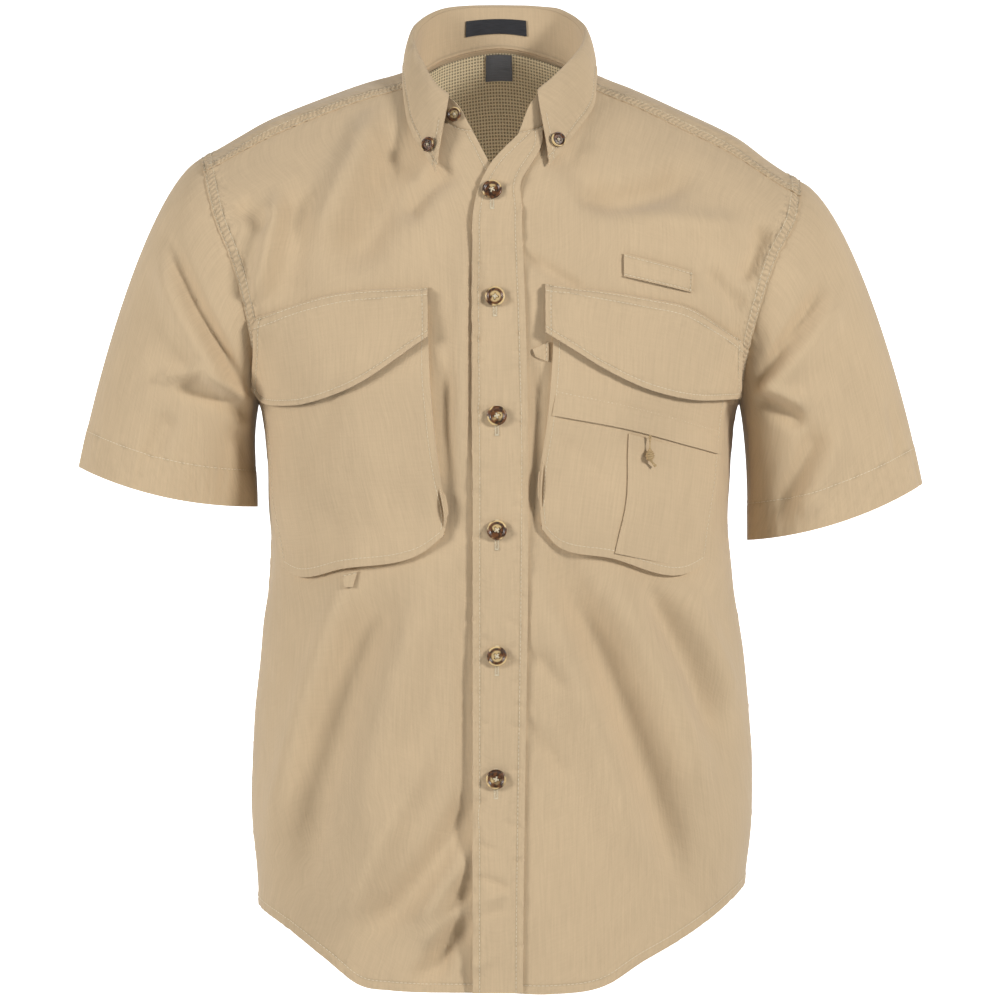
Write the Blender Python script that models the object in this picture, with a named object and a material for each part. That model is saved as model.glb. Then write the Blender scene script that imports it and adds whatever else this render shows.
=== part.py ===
"""A short-sleeved button-down shirt in its worn, hollow shape.

The origin is between the two high shoulder points, at the sides of the neck. The shirt
faces -Y, +Z is up, and lengths are in metres. Right and left are the wearer's: the
wearer's right side is at -X. A drop is a distance below the origin.

The cloth follows one body form. At each drop its level section is a rounded oval with a
half width, a front depth and a back depth. Towards the shoulders the section leans back
to the ridge line. A turn is the angle round that oval: 0 at the centre front or back and
90 degrees at the side seam. Each panel is a grid of points on the form, a row for each
level and a column for each turn, and gets its wall inwards.
"""

import math

import bpy
import numpy as np

CLOTH = 0.0012
OVERLAY = 0.0010
SEAM_GAP = 0.0003
LAP_GAP = 0.0008
OVAL_POWER = 2.3
ROUND_OVER = 0.14
QUARTER = math.pi / 2
# Points nearer than this are one place. A slope is read between two points this far on
# each side, and a button's place between corners this far out.
SAME_PLACE = 0.000005
SLOPE_REACH = 0.01
PLACE_REACH = 0.004
# A seam's two walls share their direction where it is nearly flat, and keep their own
# where it folds back: the length of the mean of their two directions.
FOLDED_SEAM = 0.35
FLAT_SEAM = 0.65

# drop, half width on the right, half width on the left, front depth, back depth
BODY = (
    (-0.060, 0.400, 0.400, 0.070, 0.066),
    (0.020, 0.380, 0.380, 0.078, 0.087),
    (0.060, 0.360, 0.360, 0.084, 0.100),
    (0.100, 0.325, 0.325, 0.096, 0.110),
    (0.150, 0.270, 0.270, 0.110, 0.117),
    (0.190, 0.238, 0.236, 0.118, 0.120),
    (0.225, 0.212, 0.209, 0.122, 0.120),
    (0.262, 0.1880, 0.1865, 0.124, 0.119),
    (0.300, 0.1820, 0.1805, 0.124, 0.116),
    (0.350, 0.1785, 0.1772, 0.122, 0.113),
    (0.400, 0.1800, 0.1810, 0.120, 0.112),
    (0.440, 0.1842, 0.1874, 0.120, 0.113),
    (0.480, 0.1883, 0.1922, 0.120, 0.115),
    (0.540, 0.1928, 0.1958, 0.121, 0.117),
    (0.590, 0.1928, 0.1958, 0.122, 0.119),
    (0.630, 0.1885, 0.1910, 0.123, 0.120),
    (0.720, 0.1830, 0.1870, 0.125, 0.121),
)
# distance from the middle, height of the ridge on the right and on the left
RIDGE = (
    (0.000, 0.0470, 0.0470),
    (0.045, 0.0240, 0.0230),
    (0.067, -0.0010, -0.0020),
    (0.080, -0.0060, -0.0085),
    (0.100, -0.0115, -0.0165),
    (0.140, -0.0260, -0.0355),
    (0.180, -0.0430, -0.0555),
    (0.210, -0.0590, -0.0750),
    (0.236, -0.0740, -0.0910),
)
# drop, distance of the front armhole edge from the middle on the right and on the left
FRONT_ARMHOLE = (
    (0.070, 0.2315, 0.2340),
    (0.100, 0.2250, 0.2320),
    (0.124, 0.2180, 0.2270),
    (0.150, 0.2070, 0.2130),
    (0.186, 0.1960, 0.2000),
    (0.225, 0.1895, 0.1900),
    (0.250, 0.1878, 0.1868),
    (0.262, 0.1880, 0.1865),
)
# drop, the same for the back armhole edge
BACK_ARMHOLE = (
    (0.070, 0.2315, 0.2340),
    (0.110, 0.2270, 0.2330),
    (0.150, 0.2160, 0.2210),
    (0.190, 0.2020, 0.2050),
    (0.225, 0.1920, 0.1920),
    (0.250, 0.1885, 0.1873),
    (0.262, 0.1880, 0.1865),
)
UNDERARM = 0.262
HEM_LEVEL = 0.660
FIRST_LEVEL = 0.150
ARMHOLE_LEVELS = (0.185, 0.215, 0.240, UNDERARM)
YOKE_SEAM_DROP = 0.016
YOKE_BACK_DROP = 0.150
# Back neckline from the front yoke seam to the middle of the back: distance from the
# middle, lean over the shoulder.
BACK_NECK = (
    (0.0655, -0.483),
    (0.0668, -0.240),
    (0.0670, 0.000),
    (0.0620, 0.260),
    (0.0470, 0.460),
    (0.0250, 0.590),
    (0.0000, 0.630),
)
YOKE_NECK = BACK_NECK[0][0]
NECK_DEPTH = 0.085

# Cells of the grids.
NECK_CELLS = 5
SEAM_CELLS = 7
YOKE_NECK_CELLS = 10
YOKE_ROWS = 6
TOP_ROWS = 5
LOWER_ROWS = 10
SLEEVE_ROWS = 8

# distance from the middle, drop of the hem on the right and on the left
HEM = (
    (0.000, 0.7090, 0.7085),
    (0.040, 0.7090, 0.7100),
    (0.083, 0.7080, 0.7030),
    (0.107, 0.7050, 0.6880),
    (0.135, 0.6850, 0.6730),
    (0.160, 0.6670, 0.6580),
    (0.189, 0.6500, 0.6350),
)

# Free edges of the fronts. The left front closes over the right one.
LEFT_EDGE = -0.0205
RIGHT_EDGE = 0.0165
PLACKET_CELLS = 2
# drop of the free edge, width of the placket, and how far its rows slope down per width
PLACKET = (
    (0.060, 0.0184, -0.25),
    (0.078, 0.0335, -0.20),
    (0.096, 0.0305, 0.00),
    (0.114, 0.0360, 0.00),
    (0.150, 0.0378, 0.00),
    (0.720, 0.0378, 0.00),
)
UNDERLAP = 0.0018
UNDERLAP_FROM = -0.060
UNDERLAP_TO = -0.024
# the neckline of each front, from the free edge to the yoke: distance from the middle
# towards that side, drop
RIGHT_NECK = (
    (0.0198, 0.0580),
    (0.0330, 0.0555),
    (0.0470, 0.0465),
    (0.0580, 0.0340),
    (0.0640, 0.0220),
)
LEFT_NECK = (
    (0.0136, 0.0600),
    (0.0300, 0.0560),
    (0.0460, 0.0465),
    (0.0575, 0.0345),
    (0.0640, 0.0230),
)
# the two free edges above the first level: drop, place across
LEFT_FREE_EDGE = (
    (0.060, 0.0136),
    (0.083, -0.0070),
    (0.098, -0.0150),
    (0.120, -0.0203),
    (0.150, -0.0205),
)
RIGHT_FREE_EDGE = (
    (0.058, -0.0198),
    (0.084, -0.0065),
    (0.110, 0.0080),
    (0.130, 0.0150),
    (0.150, 0.0165),
)

# Large folds of the body cloth. Each is a soft ridge (or trough, where the height is
# negative) along a line: face, then place across and drop at its two ends, half width
# and height.
BODY_FOLDS = (
    ("front", -0.098, 0.410, -0.152, 0.590, 0.016, 0.0050),
    ("front", -0.066, 0.430, -0.112, 0.640, 0.018, -0.0035),
    ("front", -0.026, 0.560, -0.092, 0.700, 0.015, 0.0045),
    ("front", -0.060, 0.080, -0.110, 0.150, 0.014, 0.0035),
    ("front", 0.068, 0.400, 0.124, 0.600, 0.017, 0.0050),
    ("front", 0.112, 0.440, 0.160, 0.590, 0.015, 0.0040),
    ("front", 0.040, 0.430, 0.080, 0.660, 0.018, -0.0035),
    ("front", 0.060, 0.078, 0.120, 0.140, 0.014, 0.0035),
    ("front", 0.168, 0.110, 0.120, 0.150, 0.012, 0.0030),
    ("back", -0.080, 0.190, -0.120, 0.420, 0.018, 0.0050),
    ("back", 0.090, 0.200, 0.125, 0.450, 0.018, 0.0050),
    ("back", -0.030, 0.380, -0.050, 0.660, 0.020, 0.0045),
    ("back", 0.040, 0.420, 0.070, 0.680, 0.018, 0.0045),
)
# The folds keep their full height along this share of their line, on each side of its
# middle, and fade over this one. None of them crosses the flat middle of the fronts.
FOLD_FULL = 0.3
FOLD_FADE = 0.2
FLAT_MIDDLE = 0.022

# Sleeves: centre of the cuff ring across and its drop, half width, half depth, rise of
# the outer side over the inner side
SLEEVE = {
    -1: {"across": 0.2585, "drop": 0.3275, "wide": 0.0712, "deep": 0.062, "tilt": 0.22},
    1: {"across": 0.2610, "drop": 0.3470, "wide": 0.0715, "deep": 0.062, "tilt": 0.31},
}
CUFF_SAG = 0.008
# How each sleeve column leaves the armhole and reaches the cuff, at the top of the arm
# and at the underarm: out, down.
HEAD_LEAVES = (0.034, 0.012)
UNDERARM_LEAVES = (0.006, 0.026)
SLEEVE_FULLNESS = 0.006
CUFF_TRAIL = (0.020, 0.100)
UNDERARM_TRAIL = 0.030
SLEEVE_FOLD_START = 0.25
SLEEVE_FOLDS = {
    -1: (
        (-0.258, 0.140, -0.200, 0.255, 0.009, 0.0050),
        (-0.300, 0.220, -0.250, 0.300, 0.012, 0.0035),
    ),
    1: (
        (0.262, 0.155, 0.200, 0.240, 0.009, 0.0050),
        (0.306, 0.300, 0.303, 0.330, 0.010, 0.0035),
    ),
}

# Collar. Each row: distance from the middle, depth, height; from the end at the front
# round to the middle of the back.
STAND_TOP = {
    -1: (
        (0.0334, -0.0740, -0.0340),
        (0.0440, -0.0680, -0.0270),
        (0.0600, -0.0420, -0.0030),
        (0.0665, -0.0080, 0.0180),
        (0.0625, 0.0180, 0.0330),
        (0.0430, 0.0480, 0.0480),
        (0.0000, 0.0620, 0.0525),
    ),
    1: (
        (0.0235, -0.0740, -0.0330),
        (0.0365, -0.0680, -0.0215),
        (0.0580, -0.0420, 0.0020),
        (0.0655, -0.0080, 0.0200),
        (0.0620, 0.0180, 0.0335),
        (0.0430, 0.0480, 0.0480),
        (0.0000, 0.0620, 0.0525),
    ),
}
# The leaf's outer edge over the front and shoulder, from its point: distance from the
# middle, drop. LEAF_BACK goes on behind, with rows like those above.
LEAF_EDGE = {
    -1: (
        (0.0480, 0.0910),
        (0.0700, 0.0500),
        (0.0735, 0.0270),
        (0.0740, 0.0130),
        (0.0745, 0.0060),
    ),
    1: (
        (0.0372, 0.0850),
        (0.0570, 0.0580),
        (0.0715, 0.0360),
        (0.0730, 0.0180),
        (0.0735, 0.0085),
    ),
}
LEAF_BACK = (
    (0.0700, 0.0340, -0.0060),
    (0.0500, 0.0560, 0.0040),
    (0.0000, 0.0700, 0.0100),
)
LEAF_CLEAR = 0.0036
# The fold: how far it rises, how far it comes out as it rises, and how far the leaf
# stands out on its way down, after this share of the way back to the fold.
ROLL_RISE = 0.0140
ROLL_OUT = 0.0040
HANG_OUT = 0.0050
HANG_SHARE = 0.4
LEAF_STEPS = (0.0, 0.07, 0.17, 0.30, 0.48, 0.72, 1.0)
LEAF_CROWDING = 0.018

BUTTON_SIDES = 14
# share of the radius, height over the cloth
BUTTON_PROFILE = ((0.80, 0.0), (1.0, 0.0009), (0.97, 0.0023), (0.80, 0.0026), (0.66, 0.0019))
MESH_START = 0.10
NET_GAP = 0.0023
CORD_SIDES = 6
CORD_OUT = 0.0097
# place across, drop, radius
CORD_ROUTE = (
    (0.1100, 0.2890, 0.0011),
    (0.1100, 0.2995, 0.0011),
    (0.1100, 0.3020, 0.0029),
    (0.1102, 0.3062, 0.0029),
    (0.1108, 0.3080, 0.0012),
    (0.1140, 0.3120, 0.0011),
)

# What is sewn on the fronts: top, bottom, first and last edges as (across, drop), how
# far its outer face stands off the front, and its cells down and across.
PATCHES = {
    "pocket_right": (
        ((-0.1840, 0.2120), (-0.1280, 0.1960), (-0.0545, 0.1900)),
        ((-0.1680, 0.3890), (-0.1523, 0.3963), (-0.1182, 0.3903), (-0.0572, 0.3772), (-0.0425, 0.3650)),
        ((-0.1840, 0.2120), (-0.1835, 0.2500), (-0.1765, 0.3065), (-0.1680, 0.3890)),
        ((-0.0545, 0.1900), (-0.0520, 0.2536), (-0.0444, 0.3229), (-0.0399, 0.3531), (-0.0425, 0.3650)),
        0.0026, (7, 7),
    ),
    "flap_right": (
        ((-0.1850, 0.1991), (-0.1282, 0.1832), (-0.0546, 0.1779)),
        ((-0.1850, 0.2490), (-0.1780, 0.2590), (-0.1538, 0.2645), (-0.1190, 0.2562), (-0.0536, 0.2158)),
        ((-0.1850, 0.1991), (-0.1850, 0.2490)),
        ((-0.0546, 0.1779), (-0.0536, 0.2158)),
        0.0053, (4, 8),
    ),
    "pocket_left": (
        ((0.0399, 0.1900), (0.1100, 0.2000), (0.1770, 0.2220)),
        ((0.0316, 0.3598), (0.0422, 0.3719), (0.0823, 0.3818), (0.1398, 0.3939), (0.1560, 0.3850)),
        ((0.0399, 0.1900), (0.0399, 0.2190), (0.0362, 0.2700), (0.0294, 0.3357), (0.0316, 0.3598)),
        ((0.1770, 0.2220), (0.1725, 0.2567), (0.1695, 0.2900), (0.1656, 0.3135), (0.1560, 0.3850)),
        0.0026, (7, 11),
    ),
    "flap_left": (
        ((0.0341, 0.1751), (0.1099, 0.1857), (0.1432, 0.1925), (0.1667, 0.2054), (0.1820, 0.2150)),
        (
            (0.0340, 0.2126), (0.0536, 0.2247), (0.0793, 0.2405), (0.1095, 0.2541), (0.1420, 0.2605),
            (0.1790, 0.2575),
        ),
        ((0.0341, 0.1751), (0.0340, 0.2126)),
        ((0.1820, 0.2150), (0.1790, 0.2575)),
        0.0053, (5, 11),
    ),
    "zip_fold": (
        ((0.0420, 0.2545), (0.0967, 0.2655), (0.1660, 0.2830)),
        ((0.0385, 0.2745), (0.0967, 0.2851), (0.1383, 0.2957), (0.1650, 0.3025)),
        ((0.0420, 0.2545), (0.0385, 0.2745)),
        ((0.1660, 0.2830), (0.1650, 0.3025)),
        0.0053, (1, 9),
    ),
    "pen_pleat": (
        ((0.0958, 0.2880), (0.1350, 0.2980)),
        ((0.0850, 0.3780), (0.1270, 0.3870)),
        ((0.0958, 0.2880), (0.0935, 0.3395), (0.0850, 0.3780)),
        ((0.1350, 0.2980), (0.1270, 0.3870)),
        0.0046, (4, 3),
    ),
    "rod_tab": (
        ((0.0935, 0.1518), (0.1459, 0.1655)),
        ((0.0935, 0.1693), (0.1451, 0.1807)),
        ((0.0935, 0.1518), (0.0935, 0.1693)),
        ((0.1459, 0.1655), (0.1451, 0.1807)),
        0.0021, (1, 3),
    ),
    "loop_left": (
        ((0.0245, 0.2245), (0.0365, 0.2190)),
        ((0.0265, 0.2300), (0.0365, 0.2341)),
        ((0.0245, 0.2245), (0.0265, 0.2300)),
        ((0.0365, 0.2190), (0.0365, 0.2341)),
        0.0015, (1, 1),
    ),
    "loop_right": (
        ((-0.1179, 0.3940), (-0.1065, 0.3915)),
        ((-0.1150, 0.4040), (-0.1095, 0.4040)),
        ((-0.1179, 0.3940), (-0.1150, 0.4040)),
        ((-0.1065, 0.3915), (-0.1095, 0.4040)),
        0.0023, (1, 1),
    ),
}
# How the pocket bags swell: between these two places across and these two drops, by this.
POCKET_SWELL = (0.030, 0.180, 0.185, 0.400, 0.0020)
SWELL_POWER = 0.7
# place across, drop
PLACKET_BUTTONS = (
    (-0.0060, 0.1037),
    (-0.0038, 0.1851),
    (-0.0023, 0.2747),
    (-0.0023, 0.3606),
    (-0.0023, 0.4555),
    (-0.0030, 0.5482),
)
PLACKET_BUTTON_RADIUS = 0.0075
# shares down and along the leaf or the stand, radius
SMALL_BUTTONS = {
    "button_collar_left": (0.92, 0.026, 0.0058),
    "button_collar_right": (0.905, 0.975, 0.0058),
    "button_band": (0.52, 0.965, 0.0056),
}
BUTTON_SPOT = ((-0.05, 0.05), (-0.01, 0.01))
# first and last share down and along of the labels on the net and on the stand
CARE_LABEL = (0.02, 0.19, 0.42, 0.58)
NECK_LABEL = (0.20, 0.56, 0.450, 0.550)

CLOTH_COLOUR = (0.56, 0.43, 0.28)
MESH_COLOUR = (0.40, 0.31, 0.20)
BUTTON_COLOUR = (0.16, 0.09, 0.04)
LABEL_COLOUR = (0.01, 0.01, 0.012)
CLOTH_ROUGHNESS = 0.85
BUTTON_ROUGHNESS = 0.30
LABEL_ROUGHNESS = 0.60


def smooth(places, values, at):
    """A cubic through a short table; each row's slope comes from its neighbours."""
    places = np.asarray(places, float)
    values = np.asarray(values, float)
    slopes = np.gradient(values, places)
    at = np.clip(at, places[0], places[-1])
    row = np.clip(np.searchsorted(places, at, side="right") - 1, 0, len(places) - 2)
    span = places[row + 1] - places[row]
    t = (at - places[row]) / span
    start = (1 + 2 * t) * (1 - t) ** 2 * values[row] + t * (1 - t) ** 2 * span * slopes[row]
    end = t * t * (3 - 2 * t) * values[row + 1] - t * t * (1 - t) * span * slopes[row + 1]
    return start + end


def column(table, number, at):
    """The value of one column of a table at places given in its first column."""
    rows = np.asarray(table, float)
    return smooth(rows[:, 0], rows[:, number], at)


def two_sided(table, x, at):
    """A table's right column where x is negative and its left column elsewhere."""
    return np.where(np.asarray(x) < 0, column(table, 1, at), column(table, 2, at))


def curve(points, shares):
    """Points at these shares of the length of a smooth curve through the given ones."""
    points = np.asarray(points, float)
    marks = np.concatenate([[0], np.cumsum(np.linalg.norm(np.diff(points, axis=0), axis=1))])
    fine = np.linspace(0, marks[-1], 400)
    path = np.stack([smooth(marks, points[:, k], fine) for k in range(points.shape[1])], axis=1)
    length = np.concatenate([[0], np.cumsum(np.linalg.norm(np.diff(path, axis=0), axis=1))])
    places = np.asarray(shares) * length[-1]
    return np.stack([np.interp(places, length, path[:, k]) for k in range(path.shape[1])], axis=-1)


def steps(cells):
    """Even shares from 0 to 1."""
    return np.linspace(0, 1, cells + 1)


def half_width(x, drop):
    return two_sided(BODY, x, drop)


def body_depth(face, drop):
    return column(BODY, 3 if face == "front" else 4, drop)


def rounding(x, drop):
    """How far the form has come out from the shoulder ridge: 0 on it, 1 well below."""
    height = two_sided(RIDGE, x, np.abs(x))
    lean = np.clip(1 - (height + drop) / ROUND_OVER, 0, 1)
    return np.sqrt(1 - lean**2)


def turn_at(x, drop):
    """The turn of a point that lies x across at this drop."""
    share = np.clip(np.abs(x) / half_width(x, drop), 0, 1)
    return np.sign(x) * np.arcsin(share ** (OVAL_POWER / 2))


def on_form(face, turn, drop):
    """Points of the body form: an oval of power OVAL_POWER, leaned back at the top."""
    power = 2 / OVAL_POWER
    x = np.sign(turn) * half_width(turn, drop) * np.abs(np.sin(turn)) ** power
    y = body_depth(face, drop) * np.clip(np.cos(turn), 0, 1) ** power * rounding(x, drop)
    return np.stack([x, -y if face == "front" else y, -drop + 0 * x], axis=-1)


def normals(grid, ring=False):
    """Unit normals of a grid: its down direction crossed with its along direction."""
    down = np.gradient(grid, axis=0)
    if ring:
        along = np.roll(grid, -1, axis=1) - np.roll(grid, 1, axis=1)
    else:
        along = np.gradient(grid, axis=1)
    across = np.cross(down, along)
    return across / np.maximum(np.linalg.norm(across, axis=-1, keepdims=True), 1e-12)


def fold_height(folds, x, drop):
    """Sum of soft ridges: each is a bell across its line, faded towards its two ends."""
    total = np.zeros_like(x)
    for x0, drop0, x1, drop1, width, height in folds:
        run = np.array([x1 - x0, drop1 - drop0])
        length = np.linalg.norm(run)
        along = ((x - x0) * run[0] + (drop - drop0) * run[1]) / length**2
        beside = ((x - x0) * run[1] - (drop - drop0) * run[0]) / length
        past = np.clip(np.abs(along - 0.5) - FOLD_FULL, 0, None)
        fade = np.exp(-((past / FOLD_FADE) ** 2))
        total += height * fade * np.exp(-((beside / width) ** 2))
    return total


def draped(face, turn, drop, out=0.0):
    """Cloth points: the body form with its folds, moved out by a distance."""
    base = on_form(face, turn, drop)
    folds = [row[1:] for row in BODY_FOLDS if row[0] == face]
    beside = np.clip((np.abs(base[..., 0]) - FLAT_MIDDLE) / FLAT_MIDDLE, 0, 1)
    fade = beside * beside * (3 - 2 * beside) if face == "front" else 1.0
    push = fold_height(folds, base[..., 0], drop + 0 * base[..., 0]) * fade + out
    return base + push[..., None] * normals(base)


def top_rows(x_top, drop_top, x_low, free_edge, arm_edge):
    """Rows from a panel's top edge to its first level one.

    The drop of each column runs evenly from the top edge to FIRST_LEVEL. The place
    across is blended between the two, and moved so that both side edges keep their
    own curves.
    """
    share = steps(TOP_ROWS)[:, None]
    drop = drop_top + share * (FIRST_LEVEL - drop_top)
    x = x_top + share * (x_low - x_top)
    across = steps(len(x_top) - 1)
    for edge, weight, at in ((free_edge, 1 - across, 0), (arm_edge, across, -1)):
        x = x + weight * (edge(drop[:, at]) - x[:, at])[:, None]
    return x, drop


def front_panel(side):
    """Turn and drop of each point of a front, from its free edge to its armhole and side."""
    neck = np.array(RIGHT_NECK if side < 0 else LEFT_NECK)
    neck_edge = curve(np.vstack([neck, [YOKE_NECK, front_seam_drop(side, YOKE_NECK)]]), steps(NECK_CELLS))
    seam_x = YOKE_NECK + (tip_distance(side) - YOKE_NECK) * steps(SEAM_CELLS)
    seam_edge = np.stack([seam_x, front_seam_drop(side, seam_x)], axis=1)
    top = np.vstack([neck_edge[:-1], seam_edge])
    free = LEFT_FREE_EDGE if side > 0 else RIGHT_FREE_EDGE
    free_x = LEFT_EDGE if side > 0 else RIGHT_EDGE
    share = steps(len(top) - 1)

    def level_turns(drop, arm_x):
        first = turn_at(np.array(free_x), drop) * side
        last = QUARTER if arm_x is None else turn_at(arm_x * side, drop) * side
        return first + share * (last - first)

    def arm_edge(drop):
        return column(FRONT_ARMHOLE, 1 if side < 0 else 2, drop)

    first_turns = level_turns(FIRST_LEVEL, arm_edge(FIRST_LEVEL))
    x_low = side * on_form("front", side * first_turns, FIRST_LEVEL + 0 * first_turns)[:, 0]
    x, drop = top_rows(
        top[:, 0], top[:, 1], x_low, lambda at: side * column(free, 1, at), arm_edge
    )
    turn = side * turn_at(side * x, drop)
    turns, drops = [turn], [drop]
    for level in ARMHOLE_LEVELS:
        arm_x = None if level == UNDERARM else arm_edge(level)
        turns.append(level_turns(level, arm_x)[None])
        drops.append(np.full((1, len(share)), level))
    hem_turn = level_turns(HEM_LEVEL, None)
    hem_x = on_form("front", side * hem_turn, HEM_LEVEL + 0 * hem_turn)[:, 0]
    hem = two_sided(HEM, side * np.ones(len(share)), np.abs(hem_x))
    for step in steps(LOWER_ROWS)[1:]:
        level = UNDERARM + step * (hem - UNDERARM)
        edge_turn = turn_at(free_x + 0 * level, level) * side
        turns.append((edge_turn + share * (QUARTER - edge_turn))[None])
        drops.append(level[None])
    return side * np.vstack(turns), np.vstack(drops)


def front_seam_drop(side, x):
    """Drop of the yoke's front seam: a little below the ridge."""
    return -two_sided(RIDGE, side * np.ones_like(x), x) + YOKE_SEAM_DROP


def tip_distance(side):
    """Where the front yoke seam meets the armhole: solved by a few repeats."""
    number = 1 if side < 0 else 2
    distance = np.array(0.230)
    for _ in range(6):
        distance = column(FRONT_ARMHOLE, number, front_seam_drop(side, distance))
    return float(distance)


def underlap(x):
    """How far the right front lies inwards where the left front covers it."""
    share = np.clip((x - UNDERLAP_FROM) / (UNDERLAP_TO - UNDERLAP_FROM), 0, 1)
    return -UNDERLAP * share * share * (3 - 2 * share)


def front(side):
    turn, drop = front_panel(side)
    if side < 0:
        turn, drop = turn[:, ::-1], drop[:, ::-1]
        out = underlap(on_form("front", turn, drop)[..., 0])
    else:
        out = 0.0
    return draped("front", turn, drop, out), on_form("front", turn, drop)


def fall_at(lean):
    """Fall from the ridge at a lean: round as far as upright, and straight down past it."""
    bent = np.minimum(np.abs(lean), QUARTER)
    return ROUND_OVER * (1 - np.cos(bent) + np.abs(lean) - bent)


def lean_at(x, drop):
    fall = (two_sided(RIDGE, x, np.abs(x)) + drop) / ROUND_OVER
    return np.arccos(np.clip(1 - fall, 0, 1)) + np.maximum(fall - 1, 0)


def on_shoulder(x, lean):
    """Points over the shoulder: lean 0 is the ridge, minus leans forward, plus back."""
    drop = fall_at(lean) - two_sided(RIDGE, x, np.abs(x))
    share = np.clip(np.abs(x) / half_width(x, drop), 0, 1)
    oval = (1 - share**OVAL_POWER) ** (1 / OVAL_POWER)
    depth = np.where(lean < 0, body_depth("front", drop), body_depth("back", drop))
    come_out = np.sin(np.clip(lean, -QUARTER, QUARTER))
    return np.stack([x, depth * oval * come_out, -drop], axis=-1)


def yoke():
    """The yoke, from the left tip to the right tip, in rows from its upper edge down the back."""
    seam_lean = -math.acos(1 - YOKE_SEAM_DROP / ROUND_OVER)
    neck = np.array(BACK_NECK) * (1, NECK_DEPTH)
    whole = np.vstack([neck, neck[-2::-1] * (-1, 1)])
    neck_x, neck_lean = curve(whole, steps(YOKE_NECK_CELLS)).T / np.array([[1], [NECK_DEPTH]])
    neck_lean[[0, -1]] = seam_lean
    seam_left = tip_distance(1) + (YOKE_NECK - tip_distance(1)) * steps(SEAM_CELLS)
    seam_right = -YOKE_NECK - (tip_distance(-1) - YOKE_NECK) * steps(SEAM_CELLS)
    top_x = np.concatenate([seam_left, neck_x[1:-1], seam_right])
    top_lean = np.concatenate([0 * seam_left + seam_lean, neck_lean[1:-1], 0 * seam_right + seam_lean])
    turns = back_turns(YOKE_BACK_DROP)
    low_x = on_form("back", turns, YOKE_BACK_DROP + 0 * turns)[:, 0]
    low_lean = lean_at(low_x, YOKE_BACK_DROP)
    share = steps(YOKE_ROWS)[:, None]
    lean = top_lean + share * (low_lean - top_lean)
    x = top_x + share * (low_x - top_x)
    across = steps(len(top_x) - 1)
    for number, weight, at in ((2, 1 - across, 0), (1, across, -1)):
        drop = fall_at(lean[:, at]) - column(RIDGE, number, np.abs(x[:, at]))
        front_x = column(FRONT_ARMHOLE, number, drop)
        edge = np.where(lean[:, at] < 0, front_x, column(BACK_ARMHOLE, number, drop))
        x = x + weight * (np.sign(x[:, at]) * edge - x[:, at])[:, None]
    return on_shoulder(x, lean)


def back_turns(level):
    """Turns across the back at one level, from the left edge to the right edge."""
    left = QUARTER
    right = -QUARTER
    if level < UNDERARM:
        left = float(turn_at(column(BACK_ARMHOLE, 2, level), level))
        right = float(turn_at(-column(BACK_ARMHOLE, 1, level), level))
    return left + (right - left) * steps(2 * SEAM_CELLS + YOKE_NECK_CELLS)


def back():
    """Turn and drop across the back, in rows from the yoke seam to the tail."""
    levels = (YOKE_BACK_DROP,) + ARMHOLE_LEVELS
    turns = [back_turns(level) for level in levels]
    drops = [0 * turns[0] + level for level in levels]
    row = turns[-1]
    hem_x = on_form("back", row, HEM_LEVEL + 0 * row)[:, 0]
    hem = two_sided(HEM, hem_x, np.abs(hem_x))
    for step in steps(LOWER_ROWS)[1:]:
        turns.append(row)
        drops.append(UNDERARM + step * (hem - UNDERARM))
    turn, drop = np.array(turns), np.array(drops)
    return draped("back", turn, drop), on_form("back", turn, drop)


def armhole(side, cloth):
    """The armhole as a closed ring of points that starts at the underarm.

    The left ring runs up the front, over the yoke's end and down the back, and the
    right ring runs the other way, so that both sleeves are built outwards.
    """
    number = -1 if side > 0 else 0
    front_name = "front_left" if side > 0 else "front_right"
    front_edge = cloth[front_name]["outer"][: TOP_ROWS + len(ARMHOLE_LEVELS) + 1, number]
    back_number = 0 if side > 0 else -1
    yoke_edge = cloth["yoke"]["outer"][:, back_number]
    back_edge = cloth["back"]["outer"][: len(ARMHOLE_LEVELS) + 1, back_number]
    ring = np.vstack([front_edge[::-1], yoke_edge[1:], back_edge[1:-1]])
    if side < 0:
        ring = np.vstack([ring[:1], ring[:0:-1]])
    return ring


def ring_angles(side, ring):
    """The angle of each ring point: 0 at the top, a half turn at the underarm, minus in front."""
    closed = np.vstack([ring, ring[:1]])
    length = np.concatenate([[0], np.cumsum(np.linalg.norm(np.diff(closed, axis=0), axis=1))])
    top = int(np.argmax(ring[:, 2]))
    rising = -math.pi * (1 - length / length[top])
    falling = math.pi * (length - length[top]) / (length[-1] - length[top])
    return side * np.where(length <= length[top], rising, falling)[:-1]


def cubic(t, start, leaves, arrives, end):
    """A cubic curve from start to end that leaves towards the second point and arrives from the third."""
    inner = 3 * (1 - t) ** 2 * t * leaves + 3 * (1 - t) * t**2 * arrives
    return (1 - t) ** 3 * start + inner + t**3 * end


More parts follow.
